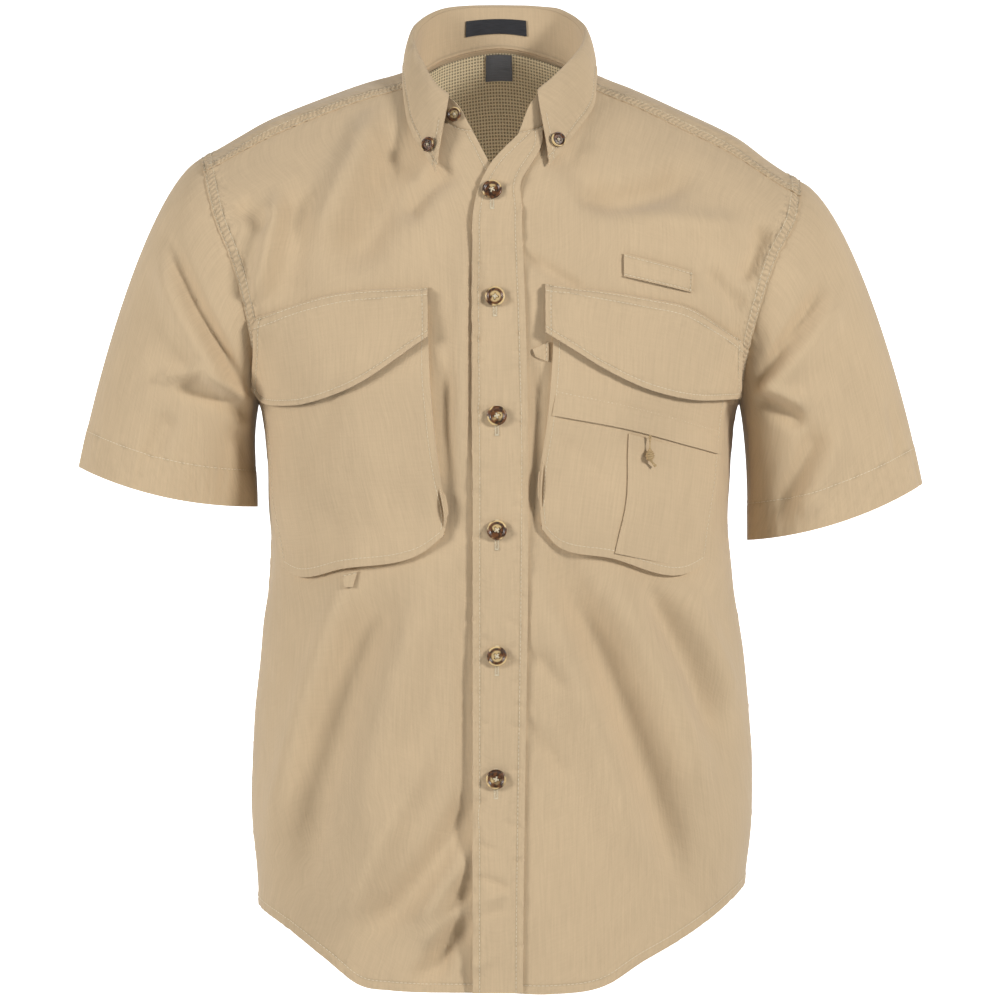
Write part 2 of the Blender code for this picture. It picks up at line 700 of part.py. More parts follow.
def sleeve(side, cloth):
    """Each column is a cubic from its armhole point to its point of the cuff ring."""
    ring = armhole(side, cloth)
    angle = ring_angles(side, ring)
    size = SLEEVE[side]
    upper = (1 + np.cos(angle)) / 2
    rise = size["tilt"]
    level = math.sqrt(1 - rise**2)
    sag = CUFF_SAG * np.clip(-np.sin(angle), 0, 1) ** 2
    cuff = np.stack([
        side * (size["across"] + size["wide"] * level * np.cos(angle)),
        size["deep"] * np.sin(angle),
        -size["drop"] + size["wide"] * rise * np.cos(angle) - sag,
    ], axis=1)
    lead = np.stack([
        side * (HEAD_LEAVES[0] * upper + UNDERARM_LEAVES[0] * (1 - upper)),
        SLEEVE_FULLNESS * np.sin(angle),
        -HEAD_LEAVES[1] * upper - UNDERARM_LEAVES[1] * (1 - upper),
    ], axis=1)
    trail = np.stack([
        -side * CUFF_TRAIL[0] * upper,
        0 * angle,
        CUFF_TRAIL[1] * upper + UNDERARM_TRAIL * (1 - upper),
    ], axis=1)
    t = steps(SLEEVE_ROWS)[:, None, None]
    grid = cubic(t, ring, ring + lead, cuff + trail, cuff)
    facing = normals(grid, ring=True)
    start = np.clip(steps(SLEEVE_ROWS)[:, None] / SLEEVE_FOLD_START, 0, 1)
    height = fold_height(SLEEVE_FOLDS[side], grid[..., 0], -grid[..., 2])
    push = height * np.abs(facing[..., 1]) * start * start * (3 - 2 * start)
    return grid + push[..., None] * facing


def stand(cloth):
    """The collar band, from its left end round the back to its right end."""
    left = cloth["front_left"]["outer"][0, : NECK_CELLS + 1]
    middle = cloth["yoke"]["outer"][0, SEAM_CELLS : SEAM_CELLS + YOKE_NECK_CELLS + 1]
    right = cloth["front_right"]["outer"][0, -NECK_CELLS - 1 :]
    low = np.vstack([left, middle[1:-1], right])
    left_top = np.array(STAND_TOP[1])
    right_top = np.array(STAND_TOP[-1]) * (-1, 1, 1)
    fold = curve(np.vstack([left_top[1:], right_top[-2:0:-1]]), steps(len(low) - 3))
    high = np.vstack([left_top[:1], fold, right_top[:1]])
    share = steps(2)[:, None, None]
    return high + share * (low - high)


def over_shoulder(x, drop, clear):
    """Points over the front and shoulder at a clearance along the cloth's normal."""
    lean = -lean_at(x, drop)
    near = (-SLOPE_REACH, SLOPE_REACH)
    corners = [[on_shoulder(x + dx, lean - dl) for dx in near] for dl in near]
    facing = np.cross(corners[1][0] - corners[0][0], corners[0][1] - corners[0][0])
    facing /= np.linalg.norm(facing, axis=1, keepdims=True)
    return on_shoulder(x, lean) + clear * facing


def leaf(band):
    """The collar leaf: up from the stand's top edge, over the fold and down to its outer edge."""
    run = np.gradient(band["outer"][0], axis=0)
    run /= np.linalg.norm(run, axis=1, keepdims=True)
    rising = band["outer"][0] - band["outer"][1]
    rising -= run * np.sum(rising * run, axis=1, keepdims=True)
    rising = (rising / np.linalg.norm(rising, axis=1, keepdims=True))[1:-1]
    out = band["normal"][0, 1:-1]
    edges = []
    for side in (1, -1):
        rows = np.array(LEAF_EDGE[side])
        back_rows = np.array(LEAF_BACK) * (side, 1, 1)
        edges.append(np.vstack([over_shoulder(side * rows[:, 0], rows[:, 1], LEAF_CLEAR), back_rows]))
    edge = curve(np.vstack([edges[0], edges[1][-2::-1]]), leaf_shares(len(out)))
    begin = band["inner"][0, 1:-1] + LAP_GAP * rising
    roll = begin + ROLL_RISE * rising + ROLL_OUT * out
    hang = edge + HANG_SHARE * (begin - edge) + HANG_OUT * out
    grid = cubic(np.array(LEAF_STEPS)[:, None, None], begin, roll, hang, edge)
    facing = normals(grid)
    facing[0] = -out
    return grid, grid - CLOTH * facing


def leaf_shares(count):
    """Shares along the leaf's edge, closer together at the pointed ends."""
    share = steps(count - 1)
    return share - LEAF_CROWDING * np.sin(2 * math.pi * share)


def patch(top, bottom, left, right, cells):
    """Turn and drop of a patch inside four edges, each a list of (across, drop).

    Every point is the blend of the two upright edges plus the blend of the two level
    ones, less the blend of the four corners, worked out in turn and drop.
    """
    rows, columns = cells

    def edge(points, count):
        x, level = curve(points, steps(count)).T
        return np.stack([turn_at(x, level), level], axis=-1)

    upper, lower = edge(top, columns)[None], edge(bottom, columns)[None]
    first, last = edge(left, rows)[:, None], edge(right, rows)[:, None]
    v, u = steps(rows)[:, None, None], steps(columns)[None, :, None]
    upper_corners = (1 - u) * upper[:, :1] + u * upper[:, -1:]
    lower_corners = (1 - u) * lower[:, :1] + u * lower[:, -1:]
    corners = (1 - v) * upper_corners + v * lower_corners
    grid = (1 - v) * upper + v * lower + (1 - u) * first + u * last - corners
    return grid[..., 0], grid[..., 1]


def laid(name):
    """A patch sewn on the front. The pocket bags swell, and so does all that lies on them."""
    top, bottom, first, last, lift, cells = PATCHES[name]
    turn, drop = patch(top, bottom, first, last, cells)
    x = np.abs(on_form("front", turn, drop)[..., 0])
    first_x, last_x, upper, lower, height = POCKET_SWELL
    across = np.clip((x - first_x) / (last_x - first_x), 0, 1)
    down = np.clip((drop - upper) / (lower - upper), 0, 1)
    soft = height * np.clip(np.sin(math.pi * across) * np.sin(math.pi * down), 0, 1) ** SWELL_POWER
    return draped("front", turn, drop, lift + soft)


def placket():
    """The strip on the left front's free edge, with the same rows as the front."""
    turn, drop = front_panel(1)
    first, level = turn[:, :1], drop[:, :1]
    start = on_form("front", first, level)[..., 0]
    across = column(PLACKET, 1, level) * steps(PLACKET_CELLS)[None]
    level = level + across * column(PLACKET, 2, level)
    return draped("front", turn_at(start + across, level), level, LAP_GAP + OVERLAY)


def key_of(point):
    """A point's place, rounded so that equal places have equal keys."""
    return tuple(np.round(point / SAME_PLACE).astype(int))


def border(grid, ring):
    """The four border lines of a grid, as index arrays with those of the next line in."""
    rows, columns = grid.shape[:2]
    i, j = np.arange(rows), np.arange(columns)
    lines = {
        "top": ((0 * j, j), (0 * j + 1, j)),
        "bottom": ((0 * j + rows - 1, j), (0 * j + rows - 2, j)),
    }
    if not ring:
        lines["first"] = ((i, 0 * i), (i, 0 * i + 1))
        lines["last"] = ((i, 0 * i + columns - 1), (i, 0 * i + columns - 2))
    return lines


def shared_points(cloth, which):
    """Border points of different pieces that lie in one place."""
    places = {}
    for name, piece in cloth.items():
        for line, _ in border(piece[which], piece["ring"]).values():
            for i, j in zip(*line):
                places.setdefault(key_of(piece[which][i, j]), set()).add((name, int(i), int(j)))
    return [sorted(spots) for spots in places.values() if len({spot[0] for spot in spots}) > 1]


def weld(cloth):
    """Seam points that belong together on the plain form are brought to their middle."""
    for spots in shared_points(cloth, "base"):
        middle = np.mean([cloth[name]["outer"][i, j] for name, i, j in spots], axis=0)
        for name, i, j in spots:
            cloth[name]["outer"][i, j] = middle


def walls(cloth):
    """Gives each piece its inner points, with mitred edges and a gap at each seam."""
    for piece in cloth.values():
        piece["own"] = normals(piece["outer"], piece["ring"])
        piece["normal"] = piece["own"].copy()
        piece["folded"] = np.zeros(piece["outer"].shape[:2])
    for spots in shared_points(cloth, "outer"):
        mean = np.mean([cloth[name]["own"][i, j] for name, i, j in spots], axis=0)
        length = max(np.linalg.norm(mean), 1e-9)
        mitred = float(np.clip((length - FOLDED_SEAM) / (FLAT_SEAM - FOLDED_SEAM), 0, 1))
        for name, i, j in spots:
            own = cloth[name]["own"][i, j]
            cloth[name]["folded"][i, j] = 1 - own @ mean / length
            blend = mitred * mean / length + (1 - mitred) * own
            cloth[name]["normal"][i, j] = blend / np.linalg.norm(blend)
    for piece in cloth.values():
        outer, own, shared = piece["outer"], piece["own"], piece["normal"]
        shift = np.zeros_like(outer)
        lines = border(outer, piece["ring"])
        for side in piece["seams"]:
            line, inner = lines[side]
            edge, inwards = outer[line], outer[inner] - outer[line]
            run = np.gradient(edge, axis=0)
            if piece["ring"]:
                run = np.roll(edge, -1, axis=0) - np.roll(edge, 1, axis=0)
            run /= np.linalg.norm(run, axis=1, keepdims=True)
            inwards -= run * np.sum(inwards * run, axis=1, keepdims=True)
            inwards /= np.linalg.norm(inwards, axis=1, keepdims=True)
            shift[line] += piece["inset"] * (inwards - piece["folded"][line][:, None] * own[line])
        piece["outer"] = outer + shift
        piece["inner"] = piece["outer"] - CLOTH * shared


def make_object(name, points, faces, material):
    mesh = bpy.data.meshes.new(name)
    mesh.from_pydata([tuple(point) for point in points], [], faces)
    mesh.materials.append(material)
    mesh.shade_smooth()
    mesh.set_sharp_from_angle(angle=math.radians(50))
    made = bpy.data.objects.new(name, mesh)
    bpy.context.scene.collection.objects.link(made)
    return made


def shell(name, outer, inner, ring, material):
    """A closed wall between two grids of points."""
    rows, columns = outer.shape[:2]
    points = np.concatenate([outer.reshape(-1, 3), inner.reshape(-1, 3)])
    half = rows * columns
    across = columns if ring else columns - 1
    faces = []

    def at(i, j, inside=False):
        return i * columns + j % columns + (half if inside else 0)

    for i in range(rows - 1):
        for j in range(across):
            quad = [at(i, j), at(i + 1, j), at(i + 1, j + 1), at(i, j + 1)]
            faces.append(quad)
            faces.append([corner + half for corner in (quad[0], quad[3], quad[2], quad[1])])
    for j in range(across):
        faces.append([at(0, j), at(0, j + 1), at(0, j + 1, True), at(0, j, True)])
        faces.append([at(rows - 1, j + 1), at(rows - 1, j), at(rows - 1, j, True), at(rows - 1, j + 1, True)])
    if not ring:
        for i in range(rows - 1):
            last = columns - 1
            faces.append([at(i + 1, 0), at(i, 0), at(i, 0, True), at(i + 1, 0, True)])
            faces.append([at(i, last), at(i + 1, last), at(i + 1, last, True), at(i, last, True)])
    return make_object(name, points, faces, material)


def thick_shell(name, grid, thick, material, ring=False):
    return shell(name, grid, grid - thick * normals(grid, ring), ring, material)


def frame_at(x, drop, out):
    """A place on the front cloth and its outward direction."""
    reach = PLACE_REACH
    across = np.array([[x - reach, x + reach]] * 2)
    level = np.array([[drop - reach] * 2, [drop + reach] * 2])
    grid = draped("front", turn_at(across, level), level, out)
    return grid.mean(axis=(0, 1)), normals(grid).mean(axis=(0, 1))


def button(name, centre, facing, radius, material):
    """A turned disc with a raised rim: a profile of radius and height, spun about its axis."""
    facing = facing / np.linalg.norm(facing)
    across = np.cross((0, 0, 1), facing)
    across /= np.linalg.norm(across)
    upright = np.cross(facing, across)
    angle = 2 * math.pi * np.arange(BUTTON_SIDES) / BUTTON_SIDES
    points, faces = [], []
    for share, height in BUTTON_PROFILE:
        spin = radius * share * (np.outer(np.cos(angle), across) + np.outer(np.sin(angle), upright))
        points.append(centre + spin + height * facing)
    for ring in range(len(BUTTON_PROFILE) - 1):
        for j in range(BUTTON_SIDES):
            k = (j + 1) % BUTTON_SIDES
            low, high = ring * BUTTON_SIDES, (ring + 1) * BUTTON_SIDES
            faces.append([low + j, low + k, high + k, high + j])
    last = (len(BUTTON_PROFILE) - 1) * BUTTON_SIDES
    faces.append(list(range(BUTTON_SIDES))[::-1])
    faces.append([last + j for j in range(BUTTON_SIDES)])
    make_object(name, np.vstack(points), faces, material)


def knotted_cord(name, material):
    """A short cord with a knot: rings of changing radius along its route."""
    points, faces = [], []
    angle = 2 * math.pi * np.arange(CORD_SIDES) / CORD_SIDES
    for x, drop, radius in CORD_ROUTE:
        centre, facing = frame_at(x, drop, CORD_OUT)
        across = np.cross((0, 0, 1), facing)
        across /= np.linalg.norm(across)
        points.append(centre + radius * (np.outer(np.cos(angle), across) + np.outer(np.sin(angle), facing)))
    for ring in range(len(CORD_ROUTE) - 1):
        for j in range(CORD_SIDES):
            k = (j + 1) % CORD_SIDES
            low, high = ring * CORD_SIDES, (ring + 1) * CORD_SIDES
            faces.append([low + j, low + k, high + k, high + j])
    last = (len(CORD_ROUTE) - 1) * CORD_SIDES
    faces.append(list(range(CORD_SIDES))[::-1])
    faces.append([last + j for j in range(CORD_SIDES)])
    make_object(name, np.vstack(points), faces, material)


def sample(grid, down, along):
    """Points of a grid at shares down and along it, straight between its own points."""
    rows = np.clip(np.asarray(down) * (len(grid) - 1), 0, len(grid) - 1.0001)
    columns = np.clip(np.asarray(along) * (grid.shape[1] - 1), 0, grid.shape[1] - 1.0001)
    i, j = rows.astype(int)[:, None], columns.astype(int)[None]
    v = (rows - rows.astype(int))[:, None, None]
    u = (columns - columns.astype(int))[None, :, None]
    upper = (1 - u) * grid[i, j] + u * grid[i, j + 1]
    lower = (1 - u) * grid[i + 1, j] + u * grid[i + 1, j + 1]
    return (1 - v) * upper + v * lower


def lining(yoke_grid):
    """The net inside the back: the yoke's own points between the shoulders, moved inwards."""
    part = yoke_grid[:, SEAM_CELLS + 1 : -SEAM_CELLS - 1]
    down = steps(YOKE_ROWS)
    down[0] = MESH_START
    part = sample(part, down, steps(part.shape[1] - 1))
    return part - (CLOTH + NET_GAP) * normals(part)


def label(shares, carrier, columns):
    """A label on the inner side of a wall, made from the wall's own points."""
    first, last, left, right = shares
    grid = sample(carrier, np.linspace(first, last, 2), np.linspace(left, right, columns))
    return grid - LAP_GAP * normals(grid)


def surface_material(name, colour, roughness):
    made = bpy.data.materials.new(name)
    made.use_nodes = True
    shader = made.node_tree.nodes["Principled BSDF"]
    shader.inputs["Base Color"].default_value = (*colour, 1)
    shader.inputs["Roughness"].default_value = roughness
    shader.inputs["Metallic"].default_value = 0.0
    return made


def main():
    for old in list(bpy.data.objects):
        bpy.data.objects.remove(old)

    def fabric(name):
        return surface_material(name + "_cloth", CLOTH_COLOUR, CLOTH_ROUGHNESS)

    cloth = {}
    for name, made, seams in (
        ("front_right", front(-1), ("top", "first")),
        ("front_left", front(1), ("top", "last")),
        ("back", back(), ("top", "first", "last")),
        ("yoke", (yoke(), yoke()), ("top", "bottom", "first", "last")),
    ):
        cloth[name] = {"outer": made[0], "base": made[1], "ring": False, "seams": seams}
        cloth[name]["inset"] = SEAM_GAP / 2
    weld(cloth)
    for name, grid, ring, seams, inset in (
        ("sleeve_right", sleeve(-1, cloth), True, ("top",), SEAM_GAP / 2),
        ("sleeve_left", sleeve(1, cloth), True, ("top",), SEAM_GAP / 2),
        ("collar_stand", stand(cloth), False, ("bottom",), SEAM_GAP),
    ):
        cloth[name] = {"outer": grid, "ring": ring, "seams": seams, "inset": inset}
    walls(cloth)
    for name, piece in cloth.items():
        shell(name, piece["outer"], piece["inner"], piece["ring"], fabric(name))

    band = cloth["collar_stand"]
    leaf_outer, leaf_inner = leaf(band)
    shell("collar", leaf_outer, leaf_inner, False, fabric("collar"))
    thick_shell("placket", placket(), OVERLAY, fabric("placket"))
    for name in PATCHES:
        thick_shell(name, laid(name), OVERLAY, fabric(name))
    net = lining(cloth["yoke"]["outer"])
    thick_shell("back_mesh", net, OVERLAY, surface_material("net", MESH_COLOUR, CLOTH_ROUGHNESS))
    net_inside = net - OVERLAY * normals(net)
    for name, grid in (
        ("care_label", label(CARE_LABEL, net_inside, 3)),
        ("neck_label", label(NECK_LABEL, band["inner"], 4)),
    ):
        thick_shell(name, grid, OVERLAY, surface_material(name + "_satin", LABEL_COLOUR, LABEL_ROUGHNESS))

    for number, (x, drop) in enumerate(PLACKET_BUTTONS, 1):
        centre, facing = frame_at(x, drop, 2 * LAP_GAP + OVERLAY)
        horn = surface_material(f"horn_{number}", BUTTON_COLOUR, BUTTON_ROUGHNESS)
        button(f"button_{number}", centre, facing, PLACKET_BUTTON_RADIUS, horn)
    for name, (down, along, radius) in SMALL_BUTTONS.items():
        carrier = band["outer"] if name == "button_band" else leaf_outer
        spot = sample(carrier, down + np.array(BUTTON_SPOT[0]), along + np.array(BUTTON_SPOT[1]))
        facing = normals(spot).mean(axis=(0, 1))
        centre = spot.mean(axis=(0, 1)) + LAP_GAP * facing
        horn = surface_material(name + "_horn", BUTTON_COLOUR, BUTTON_ROUGHNESS)
        button(name, centre, facing, radius, horn)
    knotted_cord("zip_pull", surface_material("cord", CLOTH_COLOUR, CLOTH_ROUGHNESS))


main()
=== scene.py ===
"""The looks of a short-sleeved button-down shirt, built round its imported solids.

The shirt faces -Y, +Z is up, and lengths are in metres, but for the tables, which are in
millimetres. Right and left are the wearer's, so the right side is at -X. A drop is a
distance below the origin, which is between the two high shoulder points. Each piece of
cloth is a grid of points on one body form, as in the solids, with finer cells, creases,
sewn edges and a thin wall. In tables by side, -1 is the right side and 1 the left one.
"""

import functools
import math

import bpy
import numpy as np
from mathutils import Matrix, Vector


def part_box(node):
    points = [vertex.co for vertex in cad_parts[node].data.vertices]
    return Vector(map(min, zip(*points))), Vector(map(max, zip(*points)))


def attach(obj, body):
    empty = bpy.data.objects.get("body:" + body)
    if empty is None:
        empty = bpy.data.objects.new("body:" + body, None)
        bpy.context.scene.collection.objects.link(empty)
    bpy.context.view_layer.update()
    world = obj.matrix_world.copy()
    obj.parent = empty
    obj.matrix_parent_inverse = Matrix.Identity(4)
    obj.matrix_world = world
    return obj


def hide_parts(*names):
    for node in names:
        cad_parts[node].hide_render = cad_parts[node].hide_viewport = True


bl_info = {
    "name": "Button-down shirt looks",
    "version": (1, 0, 0),
    "blender": (4, 5, 0),
    "location": "View3D > Sidebar > Shirt",
    "description": "Builds the cloth, stitching, buttons and studio of a button-down shirt",
    "category": "Object",
}

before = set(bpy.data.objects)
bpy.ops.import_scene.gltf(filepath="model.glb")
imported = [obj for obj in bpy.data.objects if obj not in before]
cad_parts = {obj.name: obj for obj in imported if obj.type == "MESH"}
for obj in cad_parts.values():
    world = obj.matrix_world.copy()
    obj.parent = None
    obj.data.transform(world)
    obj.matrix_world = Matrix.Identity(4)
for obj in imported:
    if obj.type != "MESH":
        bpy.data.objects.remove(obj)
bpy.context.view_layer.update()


def metres(rows):
    """A table in millimetres as an array in metres."""
    return np.array(rows, float) / 1000


# Values shared with the solids
QUARTER = math.pi / 2
OVAL_POWER = 2.3
ROUND_OVER = 0.14
SLOPE_REACH = 0.01
UNDERARM = 0.262
HEM_LEVEL = 0.660
FIRST_LEVEL = 0.150
YOKE_SEAM_DROP = 0.016
YOKE_BACK_DROP = 0.150
NECK_DEPTH = 0.085
FREE_X = {-1: 0.0165, 1: -0.0205}
UNDERLAP = 0.0018
UNDERLAP_RUN = (-0.060, -0.024)
FLAT_MIDDLE = (0.006, 0.026)
CUFF_SAG = 0.008
HEAD_LEAVES = (0.034, 0.012)
UNDERARM_LEAVES = (0.006, 0.026)
SLEEVE_FULLNESS = 0.006
CUFF_TRAIL = (0.020, 0.100)
UNDERARM_TRAIL = 0.030
LEAF_CLEAR = 0.0036
ROLL_RISE = 0.0140
ROLL_OUT = 0.0040
HANG_OUT = 0.0050
HANG_SHARE = 0.4
LEAF_CROWDING = 0.018
LEAF_GAP = 0.0002
BAND_ROUND = 0.007
LAP_GAP = 0.0008
OVERLAY = 0.0010
NET_GAP = 0.0023
NET_START = 0.03
SOLID_WALL = 0.0012
PLACKET_BUTTON_RADIUS = 0.0075
CORD_OUT = 0.0097

# Cells of the grids, about 3 mm each and finer beside the sewn edges
NECK_CELLS = 34
SEAM_CELLS = 72
YOKE_NECK_CELLS = 60
YOKE_ROWS = 64
TOP_ROWS = 44
ARM_ROWS = 56
LOWER_ROWS = 134
SLEEVE_ROWS = 76
LEAF_ROWS = 56
STAND_ROWS = 22
PLACKET_CELLS = 24
PLACKET_ROWS = 420
PATCH_CELLS = 56
TRIM_CELLS = 14
NET_CELLS = (40, 60)
LABEL_POINTS = (16, 30)
CELL_CROWDING = 0.80
CROWDED_CELLS = 7
ARM_END = TOP_ROWS + ARM_ROWS + 1
PAST_NECK = SEAM_CELLS + YOKE_NECK_CELLS
ARM_LEVELS = np.linspace(FIRST_LEVEL, UNDERARM, ARM_ROWS + 1)
# Shares of a front's width that its neck takes, and of the back's that each shoulder takes
NECK_PART = 5 / 12
BACK_PART = 7 / 24

# drop, half width on the right, half width on the left, front depth, back depth
BODY = metres([
    (-60, 400, 400, 70, 66),
    (20, 380, 380, 78, 87),
    (60, 360, 360, 84, 100),
    (100, 325, 325, 96, 110),
    (150, 270, 270, 110, 117),
    (190, 238, 236, 118, 120),
    (225, 212, 209, 122, 120),
    (262, 188, 186.5, 124, 119),
    (300, 182, 180.5, 124, 116),
    (350, 178.5, 177.2, 122, 113),
    (400, 180, 181, 120, 112),
    (440, 184.2, 187.4, 120, 113),
    (480, 188.3, 192.2, 120, 115),
    (540, 192.8, 195.8, 121, 117),
    (590, 192.8, 195.8, 122, 119),
    (630, 188.5, 191, 123, 120),
    (720, 183, 187, 125, 121),
])
# distance from the middle, height of the ridge on the right and on the left
RIDGE = metres([
    (-45, 24, 23),
    (0, 45, 45),
    (45, 24, 23),
    (67, -1, -2),
    (80, -6, -8.5),
    (100, -11.5, -16.5),
    (140, -26, -35.5),
    (180, -43, -55.5),
    (210, -59, -75),
    (236, -74, -91),
])
# drop, distance of the front armhole edge from the middle on the right and on the left
FRONT_ARMHOLE = metres([
    (70, 231.5, 234),
    (100, 225, 232),
    (124, 218, 227),
    (150, 207, 213),
    (186, 196, 200),
    (225, 189.5, 190),
    (250, 187.8, 186.8),
    (262, 188, 186.5),
])
# drop, the same for the back armhole edge
BACK_ARMHOLE = metres([
    (70, 231.5, 234),
    (110, 227, 233),
    (150, 216, 221),
    (190, 202, 205),
    (225, 192, 192),
    (250, 188.5, 187.3),
    (262, 188, 186.5),
])
# Back neckline from the front yoke seam to the middle of the back: distance from the
# middle, lean over the shoulder in thousandths
BACK_NECK = metres([
    (65.5, -483),
    (66.8, -240),
    (67, 0),
    (62, 260),
    (47, 460),
    (25, 590),
    (0, 630),
])
YOKE_NECK = BACK_NECK[0, 0]
# distance from the middle, drop of the hem on the right and on the left
HEM = metres([
    (0, 709, 708.5),
    (40, 709, 710),
    (83, 708, 703),
    (107, 705, 688),
    (135, 685, 673),
    (160, 667, 658),
    (189, 650, 635),
])
# drop of the free edge, width of the placket, slope of its rows in thousandths
PLACKET = metres([
    (60, 18.4, -250),
    (78, 33.5, -200),
    (96, 30.5, 0),
    (114, 36, 0),
    (150, 37.8, 0),
    (720, 37.8, 0),
])
# Neckline of each front, from the free edge to the yoke: distance from the middle, drop
NECKLINE = {
    -1: metres([(19.8, 58), (33, 55.5), (47, 46.5), (58, 34), (64, 22)]),
    1: metres([(13.6, 60), (30, 56), (46, 46.5), (57.5, 34.5), (64, 23)]),
}
# Free edge of each front above the first level: drop, place across
FREE_EDGE_LINE = {
    -1: metres([(58, -19.8), (84, -6.5), (110, 8), (130, 15), (150, 16.5)]),
    1: metres([(60, 13.6), (83, -7), (98, -15), (120, -20.3), (150, -20.5)]),
}
# Sleeves: centre of the cuff ring across and its drop, half width, half depth, and rise
# of the outer side over the inner side in thousandths
SLEEVE = {-1: metres((258.5, 327.5, 71.2, 62, 220)), 1: metres((261, 347, 71.5, 62, 310))}
# Collar, from the end at the front to the middle of the back: distance from the middle,
# depth, height
STAND_TOP = {
    -1: metres([
        (33.4, -74, -34),
        (44, -68, -27),
        (60, -42, -3),
        (66.5, -8, 18),
        (62.5, 18, 33),
        (43, 48, 48),
        (0, 62, 52.5),
    ]),
    1: metres([
        (23.5, -74, -33),
        (36.5, -68, -21.5),
        (58, -42, 2),
        (65.5, -8, 20),
        (62, 18, 33.5),
        (43, 48, 48),
        (0, 62, 52.5),
    ]),
}
# The leaf's outer edge over the front and shoulder, from its point: distance from the
# middle, drop. LEAF_BACK goes on behind, with rows like those above.
LEAF_EDGE = {
    -1: metres([(48, 91), (70, 50), (73.5, 27), (74, 13), (74.5, 6)]),
    1: metres([(37.2, 85), (57, 58), (71.5, 36), (73, 18), (73.5, 8.5)]),
}
LEAF_BACK = metres([(70, 34, -6), (50, 56, 4), (0, 70, 10)])
# place across, drop, radius
CORD_ROUTE = metres([
    (110, 289, 1.1),
    (110, 299.5, 1.1),
    (110, 302, 2.9),
    (110.2, 306.2, 2.9),
    (110.8, 308, 1.2),
    (114, 312, 1.1),
])
# What is sewn on the fronts: how far its outer face stands off the front, then its top
# and bottom edges, and its first and last edges between their corners, as (across, drop)
PATCHES = {
    "pocket_right": (
        2.6,
        [(-184, 212), (-128, 196), (-54.5, 190)],
        [(-168, 389), (-152.3, 396.3), (-118.2, 390.3), (-57.2, 377.2), (-42.5, 365)],
        [(-183.5, 250), (-176.5, 306.5)],
        [(-52, 253.6), (-44.4, 322.9), (-39.9, 353.1)],
    ),
    "flap_right": (
        5.3,
        [(-185, 199.1), (-128.2, 183.2), (-54.6, 177.9)],
        [(-185, 249), (-178, 259), (-153.8, 264.5), (-119, 256.2), (-53.6, 215.8)],
        [],
        [],
    ),
    "pocket_left": (
        2.6,
        [(39.9, 190), (110, 200), (177, 222)],
        [(31.6, 359.8), (42.2, 371.9), (82.3, 381.8), (139.8, 393.9), (156, 385)],
        [(39.9, 219), (36.2, 270), (29.4, 335.7)],
        [(172.5, 256.7), (169.5, 290), (165.6, 313.5)],
    ),
    "flap_left": (
        5.3,
        [(34.1, 175.1), (109.9, 185.7), (143.2, 192.5), (166.7, 205.4), (182, 215)],
        [(34, 212.6), (53.6, 224.7), (79.3, 240.5), (109.5, 254.1), (142, 260.5), (179, 257.5)],
        [],
        [],
    ),
    "zip_fold": (
        5.3,
        [(42, 254.5), (96.7, 265.5), (166, 283)],
        [(38.5, 274.5), (96.7, 285.1), (138.3, 295.7), (165, 302.5)],
        [],
        [],
    ),
    "pen_pleat": (4.6, [(95.8, 288), (135, 298)], [(85, 378), (127, 387)], [(93.5, 339.5)], []),
    "rod_tab": (2.1, [(93.5, 151.8), (145.9, 165.5)], [(93.5, 169.3), (145.1, 180.7)], [], []),
    "loop_left": (1.5, [(24.5, 224.5), (36.5, 219)], [(26.5, 230), (36.5, 234.1)], [], []),
    "loop_right": (2.3, [(-117.9, 394), (-106.5, 391.5)], [(-115, 404), (-109.5, 404)], [], []),
}
# The pocket bags swell between these places across and these drops, by this much
BAG_ACROSS = (0.030, 0.180)
BAG_DOWN = (0.185, 0.400)
BAG_SWELL = 0.0020
BAG_FULLNESS = 0.7
# place across, drop
PLACKET_BUTTONS = metres([
    (-6, 103.7),
    (-3.8, 185.1),
    (-2.3, 274.7),
    (-2.3, 360.6),
    (-2.3, 455.5),
    (-3, 548.2),
])
# the piece that carries it, radius
SMALL_BUTTONS = {
    "button_collar_left": ("collar", 0.0058),
    "button_collar_right": ("collar", 0.0058),
    "button_band": ("collar_stand", 0.0056),
}
# first and last share down and along of the labels on the net and on the stand
CARE_LABEL = (0.00, 0.19, 0.445, 0.565)
NECK_LABEL = (0.24, 0.54, 0.462, 0.548)

